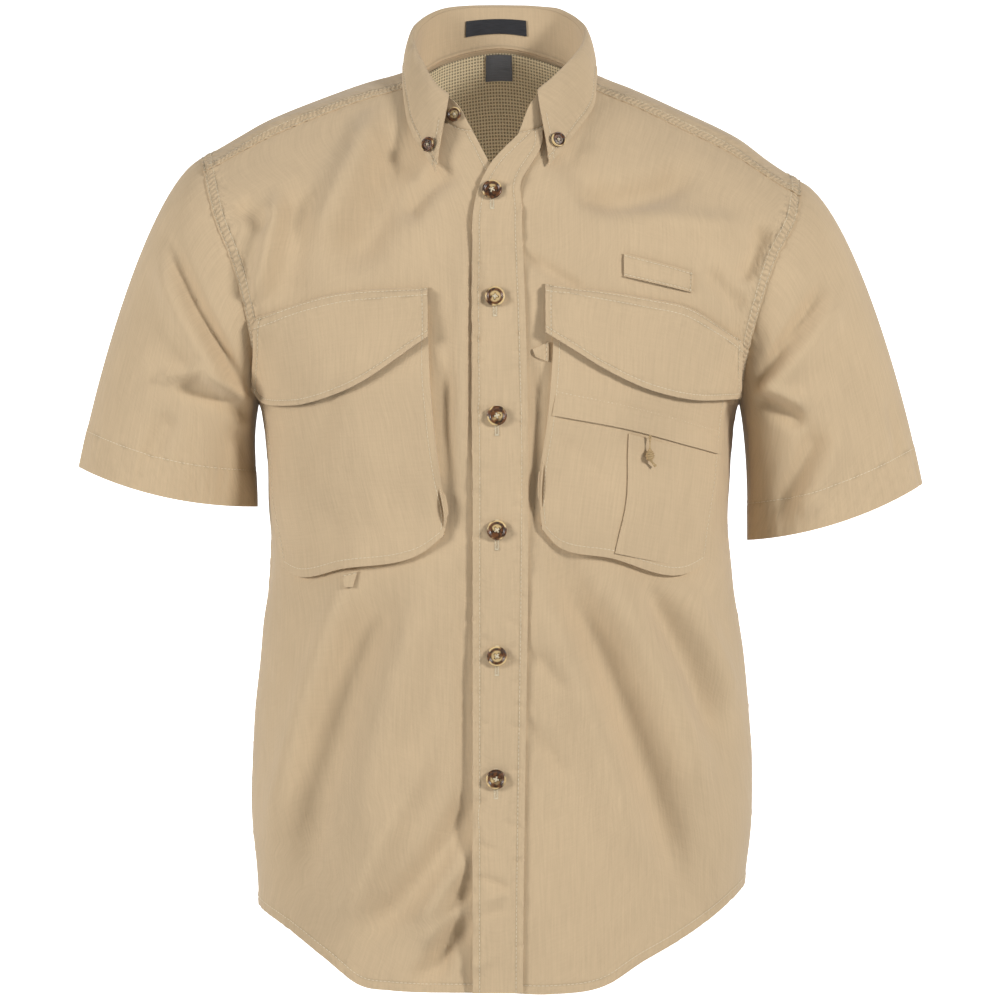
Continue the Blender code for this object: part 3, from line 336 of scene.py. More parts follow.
# Creases. Each is a soft ridge, or a trough where the height is negative, along a line
# that may bow sideways: place across and drop at its two ends, half width, height, bow.
FRONT_CREASES = metres([
    (-87, 410, -155, 632, 17, -6, -8),
    (-113, 395, -175, 602, 11, 3.5, -5),
    (-51, 402, -104, 610, 20, 5, -6),
    (-21, 564, -97, 664, 12, -5, 5),
    (-53, 523, -121, 656, 11, 4, 3),
    (-28, 625, -48, 704, 10, -3.4, 0),
    (-21, 598, -60, 659, 7, 3, 0),
    (-169, 108, -186, 186, 8, 4.5, 2),
    (-147, 100, -166, 190, 17, -3.2, 0),
    (-200, 112, -176, 131, 9, -2.2, 0),
    (-75, 60, -116, 160, 18, -6.5, 5),
    (-96, 45, -142, 140, 14, 5, 3),
    (-38, 86, -72, 122, 10, -4.5, -4),
    (-22, 655, -66, 704, 8, -3, 0),
    (-20, 640, -58, 672, 6, 3, 0),
    (-25, 143, -29, 304, 9, 3.5, 0),
    (-41, 240, -40, 361, 7, -2.6, 0),
    (45, 387, 141, 628, 15, -6.5, 6),
    (34, 413, 100, 610, 17, 4.5, 5),
    (84, 402, 154, 564, 15, 5, 5),
    (113, 404, 167, 518, 11, -4.5, 3),
    (143, 406, 180, 493, 9, 3, 0),
    (22, 505, 48, 546, 5, -1.6, 0),
    (23, 450, 50, 483, 5, -1.4, 0),
    (145, 89, 69, 109, 12, -5.5, 6),
    (201, 127, 186, 172, 9, -3.5, 3),
    (106, 125, 183, 131, 11, 3, 0),
    (158, 164, 187, 193, 8, -2.5, 0),
    (17, 151, 62, 180, 5, -2, 0),
    (29, 232, 25, 361, 7, -2.4, 0),
    (45, 66, 75, 112, 12, -2.5, 0),
])
# The right front dives under the placket's edge
UNDER_FOLDS = metres([(-26, 150, -26, 300, 4, -1.4, 0), (-26, 440, -26, 720, 6, -3, 0)])
BACK_CREASES = metres([
    (-80, 190, -120, 420, 18, 5, 6),
    (-110, 200, -160, 380, 14, -4, 4),
    (90, 200, 125, 450, 18, 5, -5),
    (125, 190, 165, 360, 13, -4, -4),
    (-30, 380, -50, 660, 20, 4.5, 5),
    (0, 400, 10, 670, 15, -4.5, -6),
    (40, 420, 70, 680, 18, 4.5, 4),
    (-90, 450, -130, 640, 16, -5, 4),
    (110, 480, 150, 630, 15, -4.5, -3),
    (-150, 170, -60, 230, 12, -3, 4),
    (150, 175, 70, 245, 12, -3, -4),
])
SLEEVE_CREASES = {
    -1: metres([
        (-252, 143, -195, 247, 6, -4.5, -5),
        (-261, 155, -203, 258, 10, 4, -5),
        (-259, 243, -228, 238, 5, 3, -2),
        (-228, 239, -187, 263, 6, 3.5, 0),
        (-246, 250, -188, 274, 6, -3, 2),
        (-255, 273, -269, 306, 9, -2.5, 0),
        (-201, 284, -188, 319, 8, -3, 0),
    ]),
    1: metres([
        (249, 175, 191, 250, 7, -4, 3),
        (260, 184, 200, 257, 11, 4, 3),
        (195, 258, 232, 280, 7, -3.5, 0),
        (200, 249, 235, 266, 6, 3, 0),
        (243, 284, 214, 347, 9, -3.5, 0),
        (263, 284, 232, 350, 11, 3, 0),
        (302, 261, 308, 306, 5, -2.5, 0),
    ]),
}
YOKE_CREASES = metres([
    (85, 30, 200, 75, 10, 2, 4),
    (-85, 30, -195, 62, 10, 2, -4),
    (60, 70, 150, 135, 12, -1.8, 0),
    (-50, 75, -140, 130, 12, -1.8, 0),
])
# What the pocket bags add to all that lies on them: full edges and soft dents
POCKET_FOLDS = metres([
    (-53, 235, -43, 372, 16, 2.6, 0),
    (-160, 392, -60, 374, 16, 2, 0),
    (-122, 246, -146, 322, 8, -2.2, 3),
    (-98, 285, -88, 360, 12, 1.6, -3),
    (-150, 300, -120, 380, 10, -1.4, 3),
    (38, 230, 31, 362, 15, 2.4, 0),
    (42, 374, 135, 392, 15, 2, 0),
    (43, 292, 83, 328, 6, -2, 2),
    (52, 318, 70, 372, 9, 1.4, -2),
    (139, 300, 131, 375, 6, -1.6, 1),
])
PLACKET_FOLDS = metres([
    (-18, 622, 10, 634, 3.6, -2, 2),
    (-12, 640, 15, 630, 4, 1.8, 0),
    (-18, 652, 4, 646, 3.2, -1.4, 0),
    (-20, 596, -2, 602, 3, -1.2, 0),
    (2, 580, 17, 586, 3, -1.2, 0),
    (-20, 690, 0, 680, 4, 1.4, 0),
    (-14, 150, 12, 136, 3.4, -1.4, 0),
    (4, 128, 22, 104, 3.4, -1.4, 0),
    (0, 110, 18, 92, 4, 1.4, 0),
    (-20, 440, -6, 446, 3, -1, 0),
    (3, 428, 17, 434, 3, -1, 0),
    (-20, 510, -8, 506, 2.8, -1, 0),
    (4, 506, 17, 512, 3, -1, 0),
    (-20, 320, -8, 316, 2.8, -0.8, 0),
    (4, 242, 17, 238, 2.8, -0.8, 0),
])
FOLD_FULL = 0.3
FOLD_FADE = 0.2
# Pulls of the placket: where those beside each button end, as (across, down), the share of
# that way at which they start, their width and depth
BUTTON_PULLS = metres([(-17, 6), (17, 5), (-16, -7), (15, -8)])
BUTTON_PULL = (0.3, 0.0026, -0.0011)
# How many pulls come in from its edges, how far apart, from which drop, how much lower
# those of the last edge start, and their width
EDGE_PULLS = 27
EDGE_PULL_STEP = 0.0205
EDGE_PULLS_FROM = 0.135
EDGE_PULL_SHIFT = 0.009
EDGE_PULL_WIDTH = 0.0019
# Near a seam, the creases of a panel fade over this distance, and so do those of the
# fronts over the last of the armhole above the underarm.
SEAM_FADE = 0.016
ARM_FADE_FROM = 0.235
SIDE_FADE = 0.014
# The flat middle of the fronts swells and sinks slowly: height, length and slant of a wave
MIDDLE_WAVE = (0.0011, 0.105, 0.3)
LEAF_WAVE = (0.0012, 0.060)
LEAF_FOLD = (0.30, 0.14)
REAR_SHIFT = 0.018
REAR_SOFTER = 0.8

# Sewn edges: width of the turned or felled band, its rise over the cloth, places of its
# rows of stitches from the edge, height and length of its puckers, whether the edge is
# free rather than a seam, and the pitch of the rungs pulled up between its rows
YOKE_FELL = (0.0085, 0.0011, (0.0014, 0.0072), 0.0010, 0.0082, True, 0.0036)
ARM_FELL = (0.0095, 0.0009, (0.0016, 0.0082), 0.0007, 0.0072, True, 0.0042)
PLAIN_SEAM = (0.0010, 0.0, (), 0.0006, 0.014, False, 0)
HEM_BAND = (0.0080, 0.0005, (0.0066,), 0.00055, 0.012, True, 0)
CUFF_BAND = (0.0300, 0.0004, (0.0286,), 0.0006, 0.013, True, 0)
FREE_EDGE = (0.0050, 0.0003, (0.0048,), 0.0003, 0.011, True, 0)
PLACKET_EDGE = (0.0052, 0.0003, (0.0054,), 0.0006, 0.023, True, 0)
STAND_SEAM = (0.0010, 0.0, (0.0020,), 0.0002, 0.009, False, 0)
LEAF_STITCH = (0.0046, 0.0002, (0.0042,), 0.0003, 0.011, True, 0)
POCKET_EDGE = (0.0040, 0.0004, (0.0042,), 0.0005, 0.013, True, 0)
FLAP_TOP = (0.0086, 0.0004, (0.0014, 0.0078), 0.00025, 0.013, True, 0)
ZIP_STITCH = (0.0030, 0.0, (0.0022,), 0.0002, 0.011, True, 0)
TRIM_EDGE = (0.0016, 0.0001, (0.0016,), 0.00015, 0.007, True, 0)
GROOVE_DEPTH = 0.0008
GROOVE_WIDTH = 0.0008
RUNG_SLANT = 0.5
BAND_SOFT = 0.0009
PUCKER_REACH = 0.0035
CRINKLE_REACH = 0.0070
CALM_CRINKLE = 0.30


def whole(style, *lines):
    """Sewn edges of one style along the whole of these borders."""
    return tuple((line, style, 0, None) for line in lines)


def arm_edges(line, end):
    """A felled armhole edge down to this point of a border, and a plain side seam below."""
    return (line, ARM_FELL, 0, end), (line, PLAIN_SEAM, end, None)


# Each row: a border, its style, the first and last of its points
FLAP_EDGES = (*whole(FLAP_TOP, "top"), *whole(POCKET_EDGE, "first", "last", "bottom"))
SLEEVE_EDGES = (*whole(PLAIN_SEAM, "top"), *whole(CUFF_BAND, "bottom"))
LABEL_EDGES = whole(TRIM_EDGE, "top", "first", "last")
EDGES = {
    "front_left": (
        ("top", PLAIN_SEAM, NECK_CELLS, None),
        *arm_edges("last", ARM_END),
        *whole(HEM_BAND, "bottom"),
    ),
    "front_right": (
        ("top", PLAIN_SEAM, 0, SEAM_CELLS + 1),
        *arm_edges("first", ARM_END),
        ("last", FREE_EDGE, 0, TOP_ROWS),
        *whole(HEM_BAND, "bottom"),
    ),
    "back": (
        *whole(PLAIN_SEAM, "top"),
        *arm_edges("first", ARM_ROWS + 1),
        *arm_edges("last", ARM_ROWS + 1),
        *whole(HEM_BAND, "bottom"),
    ),
    "yoke": (
        ("top", YOKE_FELL, 0, SEAM_CELLS + 1),
        ("top", YOKE_FELL, PAST_NECK, None),
        *whole(YOKE_FELL, "bottom"),
        *whole(ARM_FELL, "first", "last"),
    ),
    "sleeve_right": SLEEVE_EDGES,
    "sleeve_left": SLEEVE_EDGES,
    "collar_stand": whole(STAND_SEAM, "bottom"),
    "collar": (
        *whole(LEAF_STITCH, "bottom"),
        ("first", LEAF_STITCH, LEAF_ROWS // 2, None),
        ("last", LEAF_STITCH, LEAF_ROWS // 2, None),
    ),
    "placket": whole(PLACKET_EDGE, "first", "last"),
    "flap_right": FLAP_EDGES,
    "flap_left": FLAP_EDGES,
    "zip_fold": whole(ZIP_STITCH, "top"),
    "rod_tab": whole(TRIM_EDGE, "top", "bottom", "last"),
    "loop_left": whole(TRIM_EDGE, "last"),
    "loop_right": whole(TRIM_EDGE, "top"),
    "care_label": LABEL_EDGES,
    "neck_label": LABEL_EDGES,
}
# Thickness of each wall, and of those that aren't named
WALL = 0.0009
FLAP_WALL = 0.0016
LABEL_WALL = 0.0005
WALLS = {
    "collar_stand": SOLID_WALL,
    "collar": 0.0015,
    "placket": 0.0015,
    "flap_right": FLAP_WALL,
    "flap_left": FLAP_WALL,
}


def settings():
    return bpy.context.scene.shirt_cloth


def trims():
    return bpy.context.scene.shirt_trims


def studio():
    return bpy.context.scene.shirt_studio


def unit(vectors):
    """The same directions with a length of one."""
    return vectors / np.maximum(np.linalg.norm(vectors, axis=-1, keepdims=True), 1e-12)


def run_of(points):
    """The distance along a line of points at each of them."""
    return np.concatenate([[0], np.cumsum(np.linalg.norm(np.diff(points, axis=0), axis=1))])


def along_line(places, run, line):
    """Points of a line at these distances along it."""
    return np.stack([np.interp(places, run, values) for values in line.T], axis=-1)


def smooth(places, values, at):
    """A cubic through a short table; each row's slope comes from its neighbours."""
    slopes = np.gradient(values, places)
    at = np.clip(at, places[0], places[-1])
    row = np.clip(np.searchsorted(places, at, side="right") - 1, 0, len(places) - 2)
    span = places[row + 1] - places[row]
    t = (at - places[row]) / span
    start = (1 + 2 * t) * (1 - t) ** 2 * values[row] + t * (1 - t) ** 2 * span * slopes[row]
    end = t * t * (3 - 2 * t) * values[row + 1] - t * t * (1 - t) * span * slopes[row + 1]
    return start + end


def column(table, number, at):
    """The value of one column of a table at places given in its first column."""
    return smooth(table[:, 0], table[:, number], at)


def side_column(side):
    """The number of the column that holds this side in a table with both."""
    return 1 if side < 0 else 2


def two_sided(table, x, at):
    """A table's right column where x is negative and its left column elsewhere."""
    return np.where(np.asarray(x) < 0, column(table, 1, at), column(table, 2, at))


def curve(points, places):
    """Points at these shares of the length of a smooth curve through the given ones."""
    points = np.asarray(points, float)
    marks = run_of(points)
    fine = np.linspace(0, marks[-1], 400)
    path = np.stack([smooth(marks, values, fine) for values in points.T], axis=1)
    run = run_of(path)
    return along_line(np.asarray(places) * run[-1], run, path)


def half_width(x, drop):
    return two_sided(BODY, x, drop)


def body_depth(face, drop):
    return column(BODY, 3 if face == "front" else 4, drop)


def rounding(x, drop):
    """How far the form has come out from the shoulder ridge: 0 on it, 1 well below."""
    height = two_sided(RIDGE, x, np.abs(x))
    lean = np.clip(1 - (height + drop) / ROUND_OVER, 0, 1)
    return np.sqrt(1 - lean**2)


def turn_at(x, drop):
    """The turn of a point that lies x across at this drop."""
    share = np.clip(np.abs(x) / half_width(x, drop), 0, 1)
    return np.sign(x) * np.arcsin(share ** (OVAL_POWER / 2))


def on_form(face, turn, drop):
    """Points of the body form: an oval of power OVAL_POWER, leaned back at the top."""
    power = 2 / OVAL_POWER
    x = np.sign(turn) * half_width(turn, drop) * np.abs(np.sin(turn)) ** power
    y = body_depth(face, drop) * np.clip(np.cos(turn), 0, 1) ** power * rounding(x, drop)
    return np.stack([x, -y if face == "front" else y, -drop + 0 * x], axis=-1)


def normals(grid, ring=False):
    """Unit normals of a grid: its down direction crossed with its along direction."""
    down = np.gradient(grid, axis=0)
    if ring:
        return unit(np.cross(down, np.roll(grid, -1, axis=1) - np.roll(grid, 1, axis=1)))
    return unit(np.cross(down, np.gradient(grid, axis=1)))


def front_seam_drop(side, x):
    """Drop of the yoke's front seam: a little below the ridge."""
    return -two_sided(RIDGE, side * np.ones_like(x), x) + YOKE_SEAM_DROP


def tip_distance(side):
    """Where the front yoke seam meets the armhole: solved by a few repeats."""
    distance = np.array(0.230)
    for _ in range(6):
        distance = column(FRONT_ARMHOLE, side_column(side), front_seam_drop(side, distance))
    return float(distance)


def fall_at(lean):
    """Fall from the ridge at a lean: round as far as upright, and straight down past it."""
    bent = np.minimum(np.abs(lean), QUARTER)
    return ROUND_OVER * (1 - np.cos(bent) + np.abs(lean) - bent)


def lean_at(x, drop):
    """The lean at which the fall from the ridge reaches this drop."""
    fall = (two_sided(RIDGE, x, np.abs(x)) + drop) / ROUND_OVER
    return np.arccos(np.clip(1 - fall, 0, 1)) + np.maximum(fall - 1, 0)


def on_shoulder(x, lean):
    """Points over the shoulder: lean 0 is the ridge, minus leans forward, plus back."""
    drop = fall_at(lean) - two_sided(RIDGE, x, np.abs(x))
    share = np.clip(np.abs(x) / half_width(x, drop), 0, 1)
    oval = (1 - share**OVAL_POWER) ** (1 / OVAL_POWER)
    depth = np.where(lean < 0, body_depth("front", drop), body_depth("back", drop))
    come_out = np.sin(np.clip(lean, -QUARTER, QUARTER))
    return np.stack([x, depth * oval * come_out, -drop], axis=-1)


def over_shoulder(x, drop, clear):
    """Points over the front and shoulder at a clearance along the cloth's normal."""
    lean = -lean_at(x, drop)
    near = (-SLOPE_REACH, SLOPE_REACH)
    corners = [[on_shoulder(x + dx, lean - dl) for dx in near] for dl in near]
    facing = unit(np.cross(corners[1][0] - corners[0][0], corners[0][1] - corners[0][0]))
    return on_shoulder(x, lean) + clear * facing


def ring_angles(side, ring):
    """The angle of each ring point: 0 on top, a half turn at the underarm, minus in front."""
    length = run_of(np.vstack([ring, ring[:1]]))
    top = int(np.argmax(ring[:, 2]))
    rising = -math.pi * (1 - length / length[top])
    falling = math.pi * (length - length[top]) / (length[-1] - length[top])
    return side * np.where(length <= length[top], rising, falling)[:-1]


def cubic(t, start, leaves, arrives, end):
    """A cubic curve that leaves start towards the second point and arrives from the third."""
    inner = 3 * (1 - t) ** 2 * t * leaves + 3 * (1 - t) * t**2 * arrives
    return (1 - t) ** 3 * start + inner + t**3 * end


def sample(grid, down, along):
    """Points of a grid at shares down and along it, straight between its own points."""
    rows = np.clip(np.asarray(down) * (len(grid) - 1), 0, len(grid) - 1.0001)
    columns = np.clip(np.asarray(along) * (grid.shape[1] - 1), 0, grid.shape[1] - 1.0001)
    i, j = rows.astype(int)[:, None], columns.astype(int)[None]
    v = (rows - rows.astype(int))[:, None, None]
    u = (columns - columns.astype(int))[None, :, None]
    upper = (1 - u) * grid[i, j] + u * grid[i, j + 1]
    lower = (1 - u) * grid[i + 1, j] + u * grid[i + 1, j + 1]
    return (1 - v) * upper + v * lower


def soft_step(at, low, high):
    """0 below the first place, 1 above the second, and an S-curve between."""
    t = np.clip((at - low) / (high - low), 0, 1)
    return t * t * (3 - 2 * t)


def bell(at, width):
    """1 at zero, falling softly to either side."""
    return np.exp(-((at / width) ** 2))


def shares(cells, first=False, last=False):
    """Shares from 0 to 1 whose steps get shorter towards the first or last of them."""
    number = np.arange(cells)
    step = np.ones(cells)
    if first:
        step -= CELL_CROWDING * np.exp(-number / CROWDED_CELLS)
    if last:
        step -= CELL_CROWDING * np.exp(-(cells - 1 - number) / CROWDED_CELLS)
    return np.concatenate([[0], np.cumsum(step)]) / step.sum()


def ripple(along, length, seed):
    """An uneven wave from -1 to 1: three sines of near lengths, whose sum swells and fades."""
    turns = 2 * math.pi * along / length
    waves = [np.sin(turns / k + seed * (1 + k)) for k in (1.0, 0.73, 1.61)]
    return (0.6 + 0.4 * np.sin(turns / 5.3 + 2.1 * seed)) * sum(waves) / 3


def fold_height(folds, x, drop):
    """Sum of soft ridges: each is a bell across its bowed line, faded towards its two ends."""
    total = np.zeros_like(x)
    for x0, drop0, x1, drop1, width, height, bow in folds:
        run = np.array([x1 - x0, drop1 - drop0])
        length = np.linalg.norm(run)
        along = ((x - x0) * run[0] + (drop - drop0) * run[1]) / length**2
        beside = ((x - x0) * run[1] - (drop - drop0) * run[0]) / length
        beside = beside - bow * (1 - (2 * np.clip(along, 0, 1) - 1) ** 2)
        past = np.clip(np.abs(along - 0.5) - FOLD_FULL, 0, None)
        total += height * bell(past, FOLD_FADE) * bell(beside, width)
    return total


def turned(grid, line):
    """The grid with the named border as its first row."""
    if line == "bottom":
        return grid[::-1]
    if line == "first":
        return np.swapaxes(grid, 0, 1)
    if line == "last":
        return np.swapaxes(grid[:, ::-1], 0, 1)
    return grid


def measured(grid, line):
    """Distance of each point from a border, and its place along it, laid as turned() lays it.

    The distance is the length of the crossing grid line, times the sine of the angle at
    which that line leaves the border.
    """
    over = turned(grid, line)
    length = np.cumsum(np.linalg.norm(np.diff(over, axis=0), axis=2), axis=0)
    run = unit(np.gradient(over[0], axis=0))
    lead = unit(over[min(3, len(over) - 1)] - over[0])
    sine = np.sqrt(np.clip(1 - np.sum(lead * run, axis=1) ** 2, 0.1, 1))
    away = np.vstack([np.zeros((1, len(sine))), length * sine])
    return away, run_of(over[0])[None] + 0 * away


def sewn(grid, edges, ring=False, seed=1.0, strength=1.0):
    """Adds sewn edges: a raised band, a groove under each row of stitches, and puckers.

    A seam stays in its place at the very edge, and a free edge doesn't. Returns the grid
    and the marks for its material, which draws from them relief and painted light and shade:
    how crinkled each point is, how much it lies in a groove or in a band with rungs, and its
    place among the rungs.
    """
    push = np.zeros(grid.shape[:2])
    marks = {name: np.zeros(grid.shape[:2]) for name in ("crinkle", "groove", "band", "rung")}
    for number, (line, style, start, stop) in enumerate(edges):
        band, rise, rows, pucker, length, free, pitch = style
        away, along = measured(grid, line)
        inside = np.zeros(away.shape[1])
        inside[start:stop] = 1
        height = rise * (1 - soft_step(away, band, band + BAND_SOFT))
        grooves = sum((bell(away - row, GROOVE_WIDTH) for row in rows), 0 * away)
        reach = bell(np.clip(away - band, 0, None), PUCKER_REACH)
        puckers = strength * pucker * reach * ripple(along, length, seed + number)
        height = height - GROOVE_DEPTH * grooves + puckers
        if not free:
            height = height * soft_step(away, 0, BAND_SOFT)
        turned(push, line)[...] += height * inside
        crinkle = np.exp(-((away / (band + CRINKLE_REACH)) ** 4))
        found = {"crinkle": crinkle * (1 if pitch else CALM_CRINKLE), "groove": grooves}
        if pitch:
            past = soft_step(away, rows[-1] - BAND_SOFT, band)
            found["band"] = soft_step(away, 0, 2 * rows[0]) * (1 - past)
            here = (found["band"] > 0) & (inside > 0)
            turned(marks["rung"], line)[here] = ((along + RUNG_SLANT * away) / pitch)[here]
        for name, value in found.items():
            part = turned(marks[name], line)
            part[...] = np.maximum(part, value * inside)
    return grid + push[..., None] * normals(grid, ring), marks


def stitch_lines(grid, edges, ring=False):
    """Points and normals of each row of stitches, where crossing lines reach its distance."""
    facing = normals(grid, ring)
    paths = []
    for line, style, start, stop in edges:
        away, _ = measured(grid, line)
        over, out = turned(grid, line), turned(facing, line)
        spot = np.arange(away.shape[1])
        for distance in style[2]:
            row = np.clip(np.sum(away < distance, axis=0) - 1, 0, len(over) - 2)
            low, high = away[row, spot], away[row + 1, spot]
            t = np.clip((distance - low) / np.maximum(high - low, 1e-9), 0, 1)[:, None]
            path = (1 - t) * over[row, spot] + t * over[row + 1, spot], out[row, spot]
            if ring:
                paths.append(tuple(np.vstack([values, values[:1]]) for values in path))
            else:
                paths.append(tuple(values[start:stop] for values in path))
    return paths


def creased(base, folds, still, strength):
    """Moves a grid out along its normals by its creases, but for the borders that stay still."""
    push = strength * fold_height(folds, base[..., 0], -base[..., 2])
    for line in still:
        turned(push, line)[...] *= soft_step(measured(base, line)[0], 0, SEAM_FADE)
    return base + push[..., None] * normals(base)


def neck_line(side, across):
    """Drop of a front's upper edge at a distance from the middle: its neck, then the seam."""
    inner = np.interp(across, *NECKLINE[side].T)
    return np.where(across < YOKE_NECK, inner, front_seam_drop(side, across))


def front_push(base, strength):
    """How far the front cloth stands out: its creases, which fade at its seams, and waves."""
    x, drop = base[..., 0], -base[..., 2]
    across = np.abs(x)
    top = np.where(x < 0, neck_line(-1, across), neck_line(1, across))
    fade = soft_step(drop - top, 0, SEAM_FADE) * soft_step(np.abs(base[..., 1]), 0, SIDE_FADE)
    arm = soft_step(two_sided(FRONT_ARMHOLE, x, drop) - across, 0, SEAM_FADE)
    fade = fade * (arm + (1 - arm) * soft_step(drop, ARM_FADE_FROM, UNDERARM))
    folds = soft_step(across, *FLAT_MIDDLE) * fold_height(FRONT_CREASES, x, drop)
    height, length, slant = MIDDLE_WAVE
    return strength * fade * (folds + height * ripple(drop + slant * x, length, 1.7))


def on_front(turn, drop, out=0.0):
    """Points on the creased front cloth, moved out by a distance."""
    base = on_form("front", turn, drop)
    return base + (front_push(base, settings().crease) + out)[..., None] * normals(base)


def front_panel(side):
    """Turn and drop of each point of a front, from its free edge to its armhole and side.

    The rows run down from the neck and yoke seam to FIRST_LEVEL, on level lines to the
    underarm, and then evenly to the hem. The columns keep their shares on every row.
    """
    neck_share, seam_share = shares(NECK_CELLS, first=True), shares(SEAM_CELLS, last=True)
    corner = [[YOKE_NECK, front_seam_drop(side, YOKE_NECK)]]
    neck_edge = curve(np.vstack([NECKLINE[side], corner]), neck_share)
    seam_x = YOKE_NECK + (tip_distance(side) - YOKE_NECK) * seam_share
    top = np.vstack([neck_edge[:-1], np.stack([seam_x, front_seam_drop(side, seam_x)], axis=1)])
    seam_part = NECK_PART + (1 - NECK_PART) * seam_share
    across = np.concatenate([NECK_PART * neck_share[:-1], seam_part])
    number = side_column(side)

    def level_turns(drop, arm_x):
        first = turn_at(FREE_X[side] + 0 * drop, drop) * side
        return first + across * (turn_at(arm_x * side, drop) * side - first)

    first_turns = level_turns(FIRST_LEVEL, column(FRONT_ARMHOLE, number, FIRST_LEVEL))
    x_low = side * on_form("front", side * first_turns, FIRST_LEVEL + 0 * first_turns)[:, 0]
    share = shares(TOP_ROWS, first=True)[:, None]
    drop = top[:, 1] + share * (FIRST_LEVEL - top[:, 1])
    x = top[:, 0] + share * (x_low - top[:, 0])
    free_edge = side * column(FREE_EDGE_LINE[side], 1, drop[:, 0])
    arm_edge = column(FRONT_ARMHOLE, number, drop[:, -1])
    for edge, weight, at in ((free_edge, 1 - across, 0), (arm_edge, across, -1)):
        x = x + weight * (edge - x[:, at])[:, None]
    level = ARM_LEVELS[1:, None]
    arm = level_turns(level, column(FRONT_ARMHOLE, number, level))
    hem_turn = level_turns(np.array(HEM_LEVEL), half_width(side, HEM_LEVEL))
    low = hem_rows("front", side * hem_turn)
    start = turn_at(FREE_X[side] + 0 * low, low) * side
    turns = np.vstack([side * turn_at(side * x, drop), arm, start + across * (QUARTER - start)])
    return side * turns, np.vstack([drop, level + 0 * arm, low])


def hem_rows(face, turns):
    """Drops of the rows from the underarm to the hem, in columns at these turns."""
    x = on_form(face, turns, HEM_LEVEL + 0 * turns)[:, 0]
    hem = two_sided(HEM, x, np.abs(x))
    return UNDERARM + shares(LOWER_ROWS, last=True)[1:, None] * (hem - UNDERARM)


def back_across():
    """Shares across the back: crowded towards both sides, even in the middle."""
    side = BACK_PART * (1 - shares(SEAM_CELLS, last=True)[::-1])
    middle = BACK_PART + (1 - 2 * BACK_PART) * shares(YOKE_NECK_CELLS)[1:-1]
    return np.concatenate([side, middle, (1 - side)[::-1]])


BACK_ACROSS = back_across()


def back_turns(level):
    """Turns across the back at these levels, from the left edge to the right edge."""
    left = turn_at(column(BACK_ARMHOLE, 2, level), level)
    right = turn_at(-column(BACK_ARMHOLE, 1, level), level)
    return left + (right - left) * BACK_ACROSS


def back():
    """Turn and drop across the back, in rows from the yoke seam to the tail."""
    level = ARM_LEVELS[:, None]
    turns = back_turns(level)
    low = hem_rows("back", turns[-1])
    return np.vstack([turns, turns[-1] + 0 * low]), np.vstack([level + 0 * turns, low])


def yoke():
    """The yoke, from left tip to right tip, in rows from its upper edge down the back."""
    seam_lean = -math.acos(1 - YOKE_SEAM_DROP / ROUND_OVER)
    neck = BACK_NECK * (1, NECK_DEPTH)
    neck = np.vstack([neck, neck[-2::-1] * (-1, 1)])
    neck_x, neck_lean = curve(neck, shares(YOKE_NECK_CELLS)).T / np.array([[1], [NECK_DEPTH]])
    seam_share = shares(SEAM_CELLS, last=True)
    seam_left = YOKE_NECK + (tip_distance(1) - YOKE_NECK) * seam_share[::-1]
    seam_right = -YOKE_NECK - (tip_distance(-1) - YOKE_NECK) * seam_share
    top_x = np.concatenate([seam_left, neck_x[1:-1], seam_right])
    lean_left, lean_right = 0 * seam_left + seam_lean, 0 * seam_right + seam_lean
    top_lean = np.concatenate([lean_left, neck_lean[1:-1], lean_right])
    turns = back_turns(YOKE_BACK_DROP)
    low_x = on_form("back", turns, YOKE_BACK_DROP + 0 * turns)[:, 0]
    share = shares(YOKE_ROWS, first=True, last=True)[:, None]
    lean = top_lean + share * (lean_at(low_x, YOKE_BACK_DROP) - top_lean)
    x = top_x + share * (low_x - top_x)
    for number, weight, at in ((2, 1 - BACK_ACROSS, 0), (1, BACK_ACROSS, -1)):
        drop = fall_at(lean[:, at]) - column(RIDGE, number, np.abs(x[:, at]))
        front_x = column(FRONT_ARMHOLE, number, drop)
        edge = np.where(lean[:, at] < 0, front_x, column(BACK_ARMHOLE, number, drop))
        x = x + weight * (np.sign(x[:, at]) * edge - x[:, at])[:, None]
    return on_shoulder(x, lean)


def plain_cloth():
    """The four body panels on the plain form, before their creases."""
    left = on_form("front", *front_panel(1))
    turn, drop = (values[:, ::-1] for values in front_panel(-1))
    right = on_form("front", turn, drop)
    x = right[..., 0]
    under = fold_height(UNDER_FOLDS, x, -right[..., 2]) - UNDERLAP * soft_step(x, *UNDERLAP_RUN)
    return {
        "front_left": left,
        "front_right": right + under[..., None] * normals(right),
        "back": on_form("back", *back()),
        "yoke": yoke(),
    }


def armhole(side, plain):
    """The armhole as a closed ring of points that starts at the underarm.

    The left ring runs up the front, over the yoke's end and down the back, and the
    right ring runs the other way, so that both sleeves are built outwards.
    """
    front = plain["front_left"][:ARM_END, -1] if side > 0 else plain["front_right"][:ARM_END, 0]
    end = 0 if side > 0 else -1
    behind = plain["back"][: ARM_ROWS + 1, end]
    ring = np.vstack([front[::-1], plain["yoke"][1:, end], behind[1:-1]])
    return ring if side > 0 else np.vstack([ring[:1], ring[:0:-1]])


